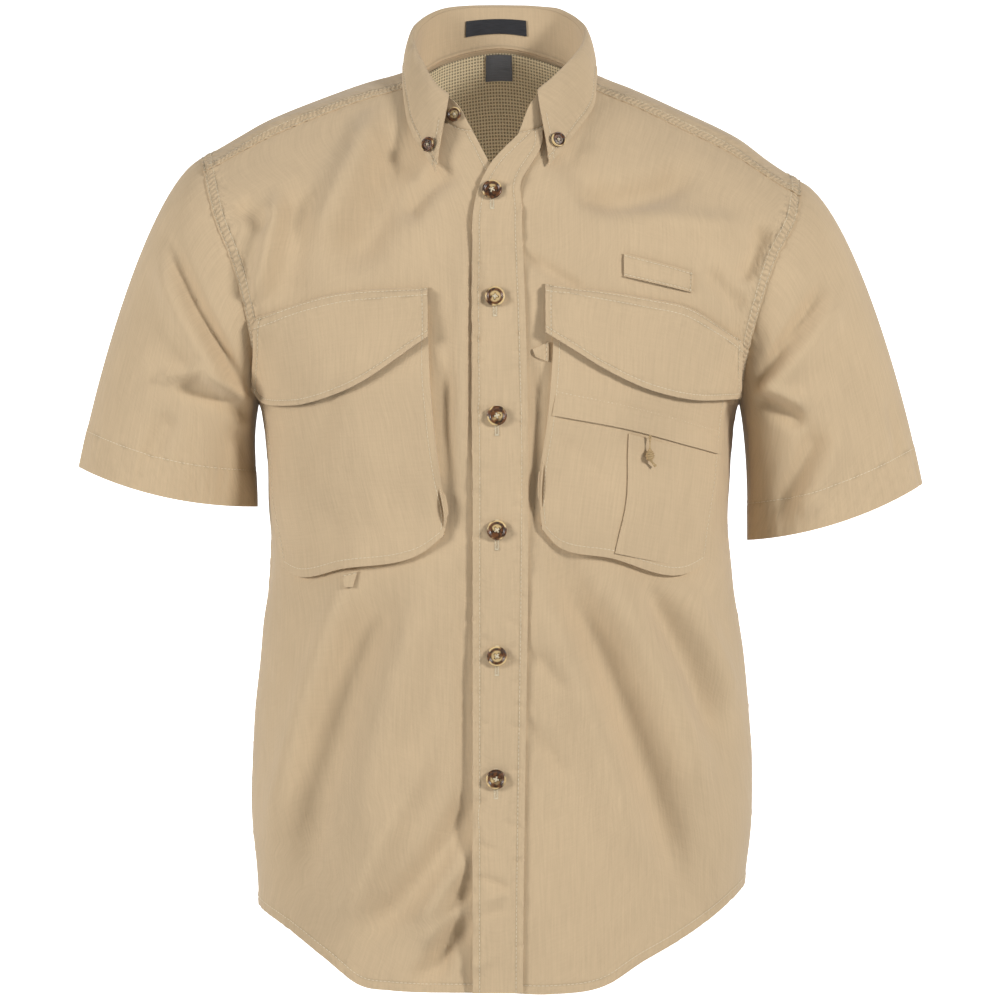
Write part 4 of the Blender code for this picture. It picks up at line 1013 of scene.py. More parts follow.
def sleeve(side, plain, strength):
    """Each column is a cubic from its armhole point to its point of the cuff ring.

    The creases of the front repeat on the hidden rear side, shifted and softer.
    """
    ring = armhole(side, plain)
    angle = ring_angles(side, ring)
    across, drop, wide, deep, rise = SLEEVE[side]
    upper = (1 + np.cos(angle)) / 2
    sag = CUFF_SAG * np.clip(-np.sin(angle), 0, 1) ** 2
    cuff = np.stack([
        side * (across + wide * math.sqrt(1 - rise**2) * np.cos(angle)),
        deep * np.sin(angle),
        -drop + wide * rise * np.cos(angle) - sag,
    ], axis=1)
    lead = np.stack([
        side * (HEAD_LEAVES[0] * upper + UNDERARM_LEAVES[0] * (1 - upper)),
        SLEEVE_FULLNESS * np.sin(angle),
        -HEAD_LEAVES[1] * upper - UNDERARM_LEAVES[1] * (1 - upper),
    ], axis=1)
    trail = np.stack([
        -side * CUFF_TRAIL[0] * upper,
        0 * angle,
        CUFF_TRAIL[1] * upper + UNDERARM_TRAIL * (1 - upper),
    ], axis=1)
    t = shares(SLEEVE_ROWS, first=True, last=True)[:, None, None]
    grid = cubic(t, ring, ring + lead, cuff + trail, cuff)
    facing = normals(grid, ring=True)
    start = soft_step(measured(grid, "top")[0], 0, 2 * SEAM_FADE)
    x, level = grid[..., 0], -grid[..., 2]
    rear = REAR_SOFTER * fold_height(SLEEVE_CREASES[side], x, level + REAR_SHIFT)
    height = np.where(facing[..., 1] < 0, fold_height(SLEEVE_CREASES[side], x, level), rear)
    return grid + (strength * height * np.abs(facing[..., 1]) * start)[..., None] * facing


def stand(plain):
    """The collar band, from its left end round the back to its right end."""
    left = plain["front_left"][0, : NECK_CELLS + 1]
    middle = plain["yoke"][0, SEAM_CELLS : PAST_NECK + 1]
    right = plain["front_right"][0, -NECK_CELLS - 1 :]
    low = np.vstack([left, middle[1:-1], right])
    run = run_of(low)
    top = np.vstack([STAND_TOP[1], (STAND_TOP[-1] * (-1, 1, 1))[-2::-1]])
    high = curve(top, run / run[-1])
    share = shares(STAND_ROWS, last=True)[:, None, None]
    length = run_of(high)
    left_over = np.clip(BAND_ROUND - np.minimum(length, length[-1] - length), 0, BAND_ROUND)
    sink = BAND_ROUND - np.sqrt(BAND_ROUND**2 - left_over**2)
    tall = np.linalg.norm(low - high, axis=1)
    return high + (share + (1 - share) * (sink / tall)[None, :, None]) * (low - high)


def leaf(band):
    """The collar leaf: up from the band's top edge, over the fold and down to its outer edge."""
    high = band[0]
    run = unit(np.gradient(high, axis=0))
    rising = high - band[1]
    rising = unit(rising - run * np.sum(rising * run, axis=1, keepdims=True))
    keep = leaf_columns(high)
    high, rising, out = high[keep], rising[keep], normals(band)[0][keep]
    edges = []
    for side in (1, -1):
        x, drop = LEAF_EDGE[side].T
        over = over_shoulder(side * x, drop, LEAF_CLEAR)
        edges.append(np.vstack([over, LEAF_BACK * (side, 1, 1)]))
    share = run_of(high) / run_of(high)[-1]
    share = share - LEAF_CROWDING * np.sin(2 * math.pi * share)
    edge = curve(np.vstack([edges[0], edges[1][-2::-1]]), share)
    begin = high - SOLID_WALL * out + LEAF_GAP * rising
    roll = begin + ROLL_RISE * rising + ROLL_OUT * out
    hang = edge + HANG_SHARE * (begin - edge) + HANG_OUT * out
    t = shares(LEAF_ROWS, last=True)[:, None]
    grid = cubic(t[..., None], begin, roll, hang, edge)
    height, length = LEAF_WAVE
    along = measured(grid, "top")[1]
    fold = bell(t - LEAF_FOLD[0], LEAF_FOLD[1]) * ripple(along, length / 2, 0.5)
    push = height * (fold + t * ripple(along + 0.02 * t, length, 2.2))
    return grid + push[..., None] * normals(grid)


def leaf_columns(high):
    """The columns of the band that carry the leaf: all but those past its two ends."""
    run = run_of(high)
    past_left, past_right = (np.linalg.norm(STAND_TOP[k][1] - STAND_TOP[k][0]) for k in (1, -1))
    return (run >= past_left) & (run <= run[-1] - past_right)


def patch(name, u, v):
    """Turn and drop inside a patch's four edges, at shares u across and v down.

    Every point is the blend of the two upright edges plus the blend of the two level
    ones, less the blend of the four corners, worked out in turn and drop.
    """
    _, top, bottom, first, last = PATCHES[name]

    def edge(points, share):
        x, level = curve(metres(points), share).T
        return np.stack([turn_at(x, level), level], axis=-1)

    upper, lower = edge(top, u)[None], edge(bottom, u)[None]
    left = edge([top[0], *first, bottom[0]], v)[:, None]
    right = edge([top[-1], *last, bottom[-1]], v)[:, None]
    v, u = v[:, None, None], u[None, :, None]
    corners = 0
    for points, share in ((top, 1 - v), (bottom, v)):
        near, far = edge(points, np.array([0, 1]))
        corners = corners + share * ((1 - u) * near + u * far)
    grid = (1 - v) * upper + v * lower + (1 - u) * left + u * right - corners
    return grid[..., 0], grid[..., 1]


def lift_of(name):
    """How far the outer face of a patch stands off the front."""
    return PATCHES[name][0] / 1000


def bag_height(turn, drop):
    """How far the pocket bags stand out: a swell between their edges, full edges and dents."""
    x = on_form("front", turn, drop)[..., 0]
    low, high = BAG_ACROSS
    across = np.clip((np.abs(x) - low) / (high - low), 0, 1)
    low, high = BAG_DOWN
    down = np.clip((drop - low) / (high - low), 0, 1)
    swell = np.clip(np.sin(math.pi * across) * np.sin(math.pi * down), 0, 1) ** BAG_FULLNESS
    return BAG_SWELL * swell + fold_height(POCKET_FOLDS, x, drop)


# How far in under its edge a bag folds back, as a share of its size, the points there,
# and the height over the front that its folded edge keeps
BELLOWS_SHARE = 0.018
BELLOWS_ROWS = 5
BAG_FLOOR = 0.0013


def returning(share, first):
    """Shares with a few more at their ends that run back inwards, and how far each folds."""
    fold = np.linspace(0, 1, BELLOWS_ROWS + 1)[1:]
    parts, folds = [share, 1 - BELLOWS_SHARE * fold], [0 * share, fold]
    if first:
        parts.insert(0, BELLOWS_SHARE * fold[::-1])
        folds.insert(0, fold[::-1])
    return np.concatenate(parts), np.concatenate(folds)


def pocket(name):
    """A pocket bag: it stands off the front and folds back under its own edge at the
    sides and below, where its height runs down to the front in a quarter round."""
    u, fold_u = returning(shares(PATCH_CELLS, True, True), True)
    v, fold_v = returning(shares(PATCH_CELLS, False, True), False)
    turn, drop = patch(name, u, v)
    fold = np.maximum(fold_u[None], fold_v[:, None])
    high = lift_of(name) + bag_height(turn, drop)
    return on_front(turn, drop, BAG_FLOOR + (high - BAG_FLOOR) * np.sqrt(1 - fold**2))


# A flap is sewn down over this share of its depth, then flares from the next share on by
# a width that waves with this length
FLAP_FLOOR = 0.0021
FLAP_EASE = 0.14
FLARE_FROM = 0.35
FLAP_FLARE = 0.0024
FLARE_WAVE = 0.045


def flap(name):
    """A pocket flap: sewn down along its top edge, and standing off more at its lower edge."""
    u, v = shares(PATCH_CELLS, True, True), shares(PATCH_CELLS // 2, True, True)
    turn, drop = patch(name, u, v)
    along = on_form("front", turn, drop)[..., 0]
    flare = FLAP_FLARE * soft_step(v, FLARE_FROM, 1)[:, None]
    flare = flare * (1 + 0.5 * ripple(along, FLARE_WAVE, 0.8))
    ease = soft_step(v, 0, FLAP_EASE)[:, None]
    high = lift_of(name) + bag_height(turn, drop)
    return on_front(turn, drop, FLAP_FLOOR + (high - FLAP_FLOOR) * ease + flare)


# Trims on a pocket bag: the height that their sewn edges have over the front, and the
# share of their lift that the rest keeps
BAG_LIFT = 0.00275
BAG_TRIM_LIFT = 0.0026
TRIM_SHARE = 0.6
# The fold over the zip stands open at its lower edge, less at its two ends
ZIP_OPEN = 0.85
ZIP_ENDS = (0.06, 0.97)
ZIP_END_SHARE = 0.35
TRIM_SWELL = 0.0008


def trim_patch(name, rows, columns):
    """A small sewn-on piece, over the front or over its pocket bag.

    The zip's fold stands open below, the pleat stands at its first edge, and the tab and
    the loop on the left swell between their ends.
    """
    lift = lift_of(name)
    u, v = shares(columns, True, True), shares(rows, True, True)
    turn, drop = patch(name, u, v)
    u, v = u[None], v[:, None]
    on_bag = BAG_LIFT + bag_height(turn, drop)
    stands = TRIM_SHARE * (lift - BAG_TRIM_LIFT)
    ends = soft_step(u, 0, ZIP_ENDS[0]) * (1 - soft_step(u, ZIP_ENDS[1], 1))
    zip_ends = ZIP_END_SHARE + (1 - ZIP_END_SHARE) * ends
    swell = TRIM_SWELL * np.sin(math.pi * u) * (1 + 0.3 * ripple(0.05 * u, 0.03, 2.0))
    bulge = TRIM_SWELL * (1 - soft_step(u, 0.2, 0.9)) * np.sin(math.pi * v)
    heights = {
        "zip_fold": on_bag + stands * soft_step(v, 0, ZIP_OPEN) * zip_ends,
        "pen_pleat": on_bag + stands * (1 - soft_step(u, 0.1, 1)),
        "rod_tab": lift + swell + 0 * v,
        "loop_left": lift + bulge,
    }
    return on_front(turn, drop, heights.get(name, lift))


def placket():
    """The strip on the left front's free edge, in finer rows than the front, with short
    level pulls in from both of its edges and round each button."""
    turn, drop = (values[:, 0] for values in front_panel(1))
    fine = np.linspace(0, len(drop) - 1, PLACKET_ROWS)
    first = np.interp(fine, np.arange(len(drop)), turn)[:, None]
    level = np.interp(fine, np.arange(len(drop)), drop)[:, None]
    start = on_form("front", first, level)[..., 0]
    across = column(PLACKET, 1, level) * shares(PLACKET_CELLS, True, True)[None]
    level = level + across * column(PLACKET, 2, level)
    x = start + across
    pulls = list(PLACKET_FOLDS)
    near, width, depth = BUTTON_PULL
    for spot in PLACKET_BUTTONS:
        for reach in BUTTON_PULLS:
            pulls.append((*(spot + near * reach), *(spot + reach), width, depth, 0.0))
    last_edge = FREE_X[1] + PLACKET[-1, 1]
    for number in range(EDGE_PULLS):
        away = EDGE_PULL_STEP * (number + 0.35 * math.sin(2.4 * number))
        for edge, way, shift in ((FREE_X[1], 1, 0.0), (last_edge, -1, EDGE_PULL_SHIFT)):
            reach = way * (0.007 + 0.004 * math.sin(3.1 * number + 90 * shift))
            down = EDGE_PULLS_FROM + away + shift
            end = down + 0.002 * math.sin(5 * number)
            depth = -0.0007 - 0.0004 * math.sin(1.9 * number + 200 * shift)
            pulls.append((edge, down, edge + reach, end, EDGE_PULL_WIDTH, depth, 0.0))
    out = LAP_GAP + OVERLAY + settings().pucker * fold_height(pulls, x, level)
    return on_front(turn_at(x, level), level, out)


def lining(yoke_grid):
    """The net inside the back: the yoke's own points between the shoulders, moved inwards."""
    margin = round(SEAM_CELLS / 7)
    part = yoke_grid[:, SEAM_CELLS + margin : -SEAM_CELLS - margin]
    rows, columns = NET_CELLS
    part = sample(part, NET_START + (1 - NET_START) * shares(rows), shares(columns))
    return part - (SOLID_WALL + NET_GAP) * normals(part)


def label(places, carrier):
    """A label on the inner side of a wall, made from the wall's own points."""
    first, last, left, right = places
    rows, columns = LABEL_POINTS
    grid = sample(carrier, np.linspace(first, last, rows), np.linspace(left, right, columns))
    return grid - LAP_GAP * normals(grid)


@functools.lru_cache(maxsize=1)
def cloth_pieces():
    """Every piece of cloth: its outer and inner points, edges, and how crinkled it is."""
    crease, pucker = settings().crease, settings().pucker
    plain = plain_cloth()
    grids = dict(plain)
    for name in ("front_left", "front_right"):
        push = front_push(plain[name], crease)
        grids[name] = plain[name] + push[..., None] * normals(plain[name])
    grids["back"] = creased(plain["back"], BACK_CREASES, ("top", "first", "last"), crease)
    borders = ("top", "bottom", "first", "last")
    grids["yoke"] = creased(plain["yoke"], YOKE_CREASES, borders, crease)
    for side, name in ((-1, "sleeve_right"), (1, "sleeve_left")):
        grids[name] = sleeve(side, plain, crease)
    grids["collar_stand"] = stand(plain)
    grids["collar"] = leaf(grids["collar_stand"])
    grids["placket"] = placket()
    for build, names in ((pocket, ("pocket_right", "pocket_left")), (flap, ("flap_right", "flap_left"))):
        for name in names:
            grids[name] = build(name)
    for name, rows, columns in (
        ("zip_fold", TRIM_CELLS, PATCH_CELLS),
        ("pen_pleat", PATCH_CELLS, 2 * TRIM_CELLS),
        ("rod_tab", TRIM_CELLS, 3 * TRIM_CELLS),
        ("loop_left", TRIM_CELLS, TRIM_CELLS),
        ("loop_right", TRIM_CELLS, TRIM_CELLS),
    ):
        grids[name] = trim_patch(name, rows, columns)
    pieces = {}

    def add(name, outer, wall, marks, ring=False):
        inner = outer - wall * normals(outer, ring)
        edges = EDGES.get(name, ())
        pieces[name] = {"outer": outer, "inner": inner, "ring": ring, "marks": marks, "edges": edges}

    for seed, (name, grid) in enumerate(grids.items(), 1):
        ring = name.startswith("sleeve")
        outer, marks = sewn(grid, EDGES.get(name, ()), ring, seed, pucker)
        add(name, outer, WALLS.get(name, WALL), marks, ring)
    net = lining(plain["yoke"])
    add("back_mesh", net, OVERLAY, {})
    add("care_label", label(CARE_LABEL, pieces["back_mesh"]["inner"]), LABEL_WALL, {})
    add("neck_label", label(NECK_LABEL, pieces["collar_stand"]["inner"]), LABEL_WALL, {})
    return pieces


def quads(index):
    """The cells of a grid of point numbers, each as four corners, down and then along."""
    corners = (index[:-1, :-1], index[1:, :-1], index[1:, 1:], index[:-1, 1:])
    return np.stack(corners, axis=-1).reshape(-1, 4)


def numbered(grid, start=0):
    """The point numbers of a grid."""
    return start + np.arange(grid.shape[0] * grid.shape[1]).reshape(grid.shape[:2])


def strip(one, other):
    """The cells between two lines of point numbers."""
    return np.stack([one[:-1], one[1:], other[1:], other[:-1]], axis=-1)


def shell_faces(outer, inner, ring):
    """Quads of a closed wall between two grids of point numbers."""
    faces = [quads(outer), quads(inner)[:, ::-1]]
    faces.append(strip(outer[0], inner[0]))
    faces.append(strip(outer[-1, ::-1], inner[-1, ::-1]))
    if not ring:
        faces.append(strip(outer[::-1, 0], inner[::-1, 0]))
        faces.append(strip(outer[:, -1], inner[:, -1]))
    return np.concatenate(faces)


def capped(grid, hubs, last_line=slice(None, None, -1)):
    """A closed tube of rings of points, with a hub in the middle of each end.

    last_line says which way round the points of the last ring are taken.
    """
    index = numbered(grid)
    index = np.hstack([index, index[:, :1]])
    faces = [quads(index)[:, ::-1]]
    for line, hub in ((index[0], index[-1, -2] + 1), (index[-1, last_line], index[-1, -2] + 2)):
        middle = 0 * line[:-1] + hub
        faces.append(np.stack([line[1:], line[:-1], middle, middle], axis=-1))
    return np.vstack([grid.reshape(-1, 3), hubs]), np.concatenate(faces)


def add_mesh(name, points, faces, material, marks=None, node=None, slot="cloth"):
    """A piece made of these points and quads. It rides on the root and stands for its node."""
    mesh = bpy.data.meshes.new(name)
    mesh.from_pydata(np.asarray(points).tolist(), [], np.asarray(faces).tolist())
    for mark, values in (marks or {}).items():
        kind, field = ("FLOAT2", "vector") if mark == "cut" else ("FLOAT", "value")
        layer = mesh.attributes.new(mark, kind, "CORNER" if mark == "cut" else "POINT")
        layer.data.foreach_set(field, np.asarray(values, np.float32).ravel())
    mesh.materials.append(material)
    mesh.shade_smooth()
    mesh.set_sharp_from_angle(angle=math.radians(55))
    made = bpy.data.objects.new(name, mesh)
    bpy.context.scene.collection.objects.link(made)
    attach(made, "root")
    if node:
        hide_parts(node)
    return made


def cut_places(name, grid, ring):
    """The flat place of each point in metres: its distance along its row and down its column.

    Rows are measured from the middle, or on a front from its free edge. On the body's
    panels only their level run counts, so that the grain hangs straight down.
    """
    wide = np.concatenate([grid, grid[:, :1]], axis=1) if ring else grid
    hanging = name in ("front_left", "front_right", "back", "placket")
    step = np.linalg.norm(np.diff(wide, axis=1)[..., : 2 if hanging else 3], axis=2)
    along = np.hstack([np.zeros((len(wide), 1)), np.cumsum(step, axis=1)])
    start = {"front_left": 0, "placket": 0, "front_right": -1}.get(name, along.shape[1] // 2)
    down = np.cumsum(np.linalg.norm(np.diff(wide, axis=0), axis=2), axis=0)
    down = np.vstack([np.zeros((1, wide.shape[1])), down])
    return np.stack([along - along[:, start][:, None], down], axis=-1)


def add_cloth(name, material, slot="cloth"):
    """A piece of cloth as a closed thin shell, with the flat place of each point as it was cut."""
    piece = cloth_pieces()[name]
    outer, ring = piece["outer"], piece["ring"]
    index = numbered(outer)
    count = index.size
    if ring:
        index = np.hstack([index, index[:, :1]])
    places = cut_places(name, outer, ring)
    flat = numbered(places)
    points = np.concatenate([outer.reshape(-1, 3), piece["inner"].reshape(-1, 3)])
    faces = shell_faces(index, index + count, ring)
    marks = {mark: np.tile(values.ravel(), 2) for mark, values in piece["marks"].items()}
    marks["cut"] = places.reshape(-1, 2)[shell_faces(flat, flat, ring).ravel()]
    made = add_mesh(name + "_cloth", points, faces, material, marks, name, slot)


def threads(start, end, out, thread):
    """Short straight threads from start to end: three rings of four points each.

    The two end rings are smaller and sink into the cloth, and the middle one stands on it.
    """
    out = unit(out)
    side = np.cross(unit(end - start), out)
    radius = thread / 2
    rings = []
    for t, size, height in ((0.0, 0.55, -0.25), (0.5, 1.0, 0.45), (1.0, 0.55, -0.25)):
        centre = start + t * (end - start) + height * radius * out
        for angle in QUARTER * (np.arange(4) + 0.5):
            spoke = math.cos(angle) * side + math.sin(angle) * out
            rings.append(centre + radius * size * spoke)
    points = np.stack(rings, axis=1)
    one = []
    for ring in (0, 4):
        for spin in range(4):
            after = (spin + 1) % 4
            one.append([ring + spin, ring + after, ring + 4 + after, ring + 4 + spin])
    one += [[3, 2, 1, 0], [8, 9, 10, 11]]
    faces = np.array(one)[None, :, ::-1] + 12 * np.arange(len(points))[:, None, None]
    return points.reshape(-1, 3), faces.reshape(-1, 4)


def stitches(paths, pitch, thread, share=0.78):
    """Points and quads of stitches along paths of points and normals."""
    starts, ends, outs = [], [], []
    for points, facing in paths:
        run = run_of(points)
        count = int(run[-1] / pitch)
        if count < 1:
            continue
        middle = (np.arange(count) + 0.5) * run[-1] / count
        starts.append(along_line(middle - pitch * share / 2, run, points))
        ends.append(along_line(middle + pitch * share / 2, run, points))
        outs.append(along_line(middle, run, facing))
    return threads(np.concatenate(starts), np.concatenate(ends), np.concatenate(outs), thread)


def tube(route, radius, sides, beside=(0.0, 0.0, 1.0)):
    """A round tube along a route with a radius at each of its points, and a cap at each end."""
    run = unit(np.gradient(route, axis=0))
    one = unit(np.cross(run, beside))
    other = np.cross(run, one)
    angle = (2 * math.pi * np.arange(sides) / sides)[None, :, None]
    spokes = np.cos(angle) * one[:, None] + np.sin(angle) * other[:, None]
    grid = route[:, None] + np.asarray(radius)[..., None, None] * spokes
    return capped(grid, route[[0, -1]], slice(None))


def joined(parts):
    """Several meshes' points and faces as one."""
    points, faces, count = [], [], 0
    for part_points, part_faces in parts:
        points.append(part_points)
        faces.append(part_faces + count)
        count += len(part_points)
    return np.vstack(points), np.vstack(faces)


def directions(facing):
    """The directions out, across and up at a place that faces this way."""
    out = unit(facing)
    across = unit(np.cross((0, 0, 1), out))
    return out, across, np.cross(out, across)


def nearest_place(grid, node):
    """The place of a grid nearest to the middle of a solid, and its directions."""
    low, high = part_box(node)
    middle = (np.array(low) + np.array(high)) / 2
    nearest = np.argmin(np.linalg.norm(grid - middle, axis=2))
    row, spot = np.unravel_index(nearest, grid.shape[:2])
    row = int(np.clip(row, 3, len(grid) - 4))
    spot = int(np.clip(spot, 3, grid.shape[1] - 4))
    facing = normals(grid)[row - 2 : row + 3, spot - 2 : spot + 3].mean(axis=(0, 1))
    return grid[row, spot], *directions(facing)


def front_place(x, drop, out, reach=0.004):
    """A place on the creased front cloth, and its directions."""
    across = np.array([[x - reach, x + reach]] * 2)
    level = np.array([[drop - reach] * 2, [drop + reach] * 2])
    grid = on_front(turn_at(across, level), level, out)
    return grid.mean(axis=(0, 1)), *directions(normals(grid).mean(axis=(0, 1)))


# Outline of a button: share of the radius in thousandths, height
BUTTON_OUTLINE = metres([
    (700, 0),
    (860, 0.1),
    (960, 0.6),
    (1000, 1.3),
    (985, 2),
    (930, 2.5),
    (860, 2.6),
    (790, 2.4),
    (720, 1.9),
    (640, 1.6),
])
BUTTON_SIDES = 72
BUTTON_RINGS = 26
BUTTON_FACE = 0.0015
BUTTON_DISH = 0.0002
# Its holes: distance from the middle and size as shares of the radius, and depth. They
# lie in the rings past this one.
HOLE_PLACE = 0.275
HOLE_SIZE = 0.115
HOLE_DEPTH = 0.001275
HOLES_FROM = 20


def button(place, radius, turned_by):
    """A four-hole button as rings of points about its axis.

    The outline gives the edge and the raised rim; inside it the face is a shallow dish
    whose height drops steeply within each of the four holes.
    """
    centre, out, across, up = place
    angle = 2 * math.pi * np.arange(BUTTON_SIDES) / BUTTON_SIDES
    outline = curve(BUTTON_OUTLINE * (radius, 1), shares(BUTTON_RINGS))
    inner = np.linspace(BUTTON_OUTLINE[-1, 0] * radius, 0.02 * radius, BUTTON_RINGS)[1:]
    far = np.concatenate([outline[:, 0], inner])
    dish = BUTTON_FACE - BUTTON_DISH * np.cos(np.linspace(0, QUARTER, len(inner)))
    height = np.concatenate([outline[:, 1], dish])[:, None] + 0 * angle[None]
    flat_x, flat_y = far[:, None] * np.cos(angle), far[:, None] * np.sin(angle)
    hole = 0 * flat_x
    for theta in turned_by + QUARTER * (np.arange(4) + 0.5):
        hole_x, hole_y = HOLE_PLACE * radius * np.array([math.cos(theta), math.sin(theta)])
        gap = np.hypot(flat_x - hole_x, flat_y - hole_y)
        hole = np.maximum(hole, np.exp(-((gap / (HOLE_SIZE * radius)) ** 6)))
    height = height - HOLE_DEPTH * hole * (np.arange(len(far)) > HOLES_FROM)[:, None]
    grid = centre + flat_x[..., None] * across + flat_y[..., None] * up + height[..., None] * out
    return capped(grid, [centre, centre + float(height[-1].mean()) * out])


def button_threads(place, radius, turned_by):
    """Two crossed bundles of thread over the four holes of a button."""
    centre, out, across, up = place
    parts = []
    for spin in (0, 1):
        theta = turned_by + QUARTER * (spin + 0.5)
        line = math.cos(theta) * across + math.sin(theta) * up
        beside = np.cross(out, line)
        for shift in (-0.04 * radius, 0.04 * radius):
            t = np.linspace(-1, 1, 9)
            height = BUTTON_FACE - 0.0007 + 0.0012 * (1 - t**4) + 0.0002 * spin
            route = centre + np.outer(HOLE_PLACE * radius * t, line) + np.outer(height, out)
            parts.append(tube(route + shift * beside, 0.04 * radius + 0 * t, 6, out))
    return joined(parts)


# Buttonholes: length, width, how far their middle is below the button's, and the distance
# from thread to thread, which is also the thread's width
HOLE_LONG = 0.0210
HOLE_WIDE = 0.0034
HOLE_BELOW = 0.0035
HOLE_PITCH = 0.00055
HOLE_SLIT = 0.00025
BAR_STEP = 0.0004


def buttonhole(place):
    """Rows of short threads across both lips of an upright buttonhole, and a bar at each end."""
    centre, out, across, up = place
    middle = centre + np.outer(np.arange(-HOLE_LONG / 2, HOLE_LONG / 2, HOLE_PITCH), up)
    starts = [middle + side * HOLE_SLIT * across for side in (-1, 1)]
    ends = [middle + side * HOLE_WIDE / 2 * across for side in (-1, 1)]
    for end in (-1, 1):
        for step in (0, 1, 2):
            spot = centre + end * (HOLE_LONG / 2 + BAR_STEP * step) * up
            starts.append((spot - HOLE_WIDE / 2 * across)[None])
            ends.append((spot + HOLE_WIDE / 2 * across)[None])
    start, end = np.vstack(starts), np.vstack(ends)
    return threads(start, end, np.tile(out, (len(start), 1)), HOLE_PITCH)


def knotted_cord():
    """The zip pull's cord: a tube whose radius swells into a wrapped knot along its route."""
    fine = curve(CORD_ROUTE, np.linspace(0, 1, 90))
    points = np.stack([front_place(x, drop, CORD_OUT)[0] for x, drop, _ in fine])
    wraps = soft_step(fine[:, 2], 0.0018, 0.0026)
    radius = fine[:, 2] + 0.00035 * wraps * np.sin(2 * math.pi * np.arange(90) / 6)
    return tube(points, radius, 20)


def linear(code):
    """The linear RGBA of an sRGB hex colour."""
    channels = [int(code[k : k + 2], 16) / 255 for k in (1, 3, 5)]
    return [c / 12.92 if c <= 0.04045 else ((c + 0.055) / 1.055) ** 2.4 for c in channels] + [1.0]


def shaded(colour, share):
    """A linear colour made lighter or darker."""
    return [min(1.0, share * channel) for channel in colour[:3]] + [1.0]


def per_mm(across, down):
    """The scale that turns metres into spots this wide and long in millimetres."""
    return (1000 / across, 1000 / down, 1000 / across)


def add_node(tree, kind, sockets=(), out=0, **settings):
    """Adds a node with its settings and its sockets' links or constants; returns an output."""
    made = tree.nodes.new(kind)
    for name, value in settings.items():
        setattr(made, name, value)
    for socket, value in dict(sockets).items():
        if isinstance(value, bpy.types.NodeSocket):
            tree.links.new(value, made.inputs[socket])
        else:
            made.inputs[socket].default_value = value
    return made.outputs[out]


def new_material(name, **sockets):
    """A material with its constants set on its shader's sockets, and its node tree."""
    made = bpy.data.materials.new(name)
    made.use_nodes = True
    shader = made.node_tree.nodes["Principled BSDF"]
    for socket, value in sockets.items():
        shader.inputs[socket.replace("_", " ")].default_value = value
    return made, made.node_tree, shader.inputs


# Node kinds
NOISE = "ShaderNodeTexNoise"
MAPPING = "ShaderNodeMapping"
RANGE = "ShaderNodeMapRange"
MATHS = "ShaderNodeMath"
MIX = "ShaderNodeMix"
BUMP = "ShaderNodeBump"
ATTRIBUTE = "ShaderNodeAttribute"
PLACES = "ShaderNodeTexCoord"
COLOURS = {"data_type": "RGBA", "out": 2}


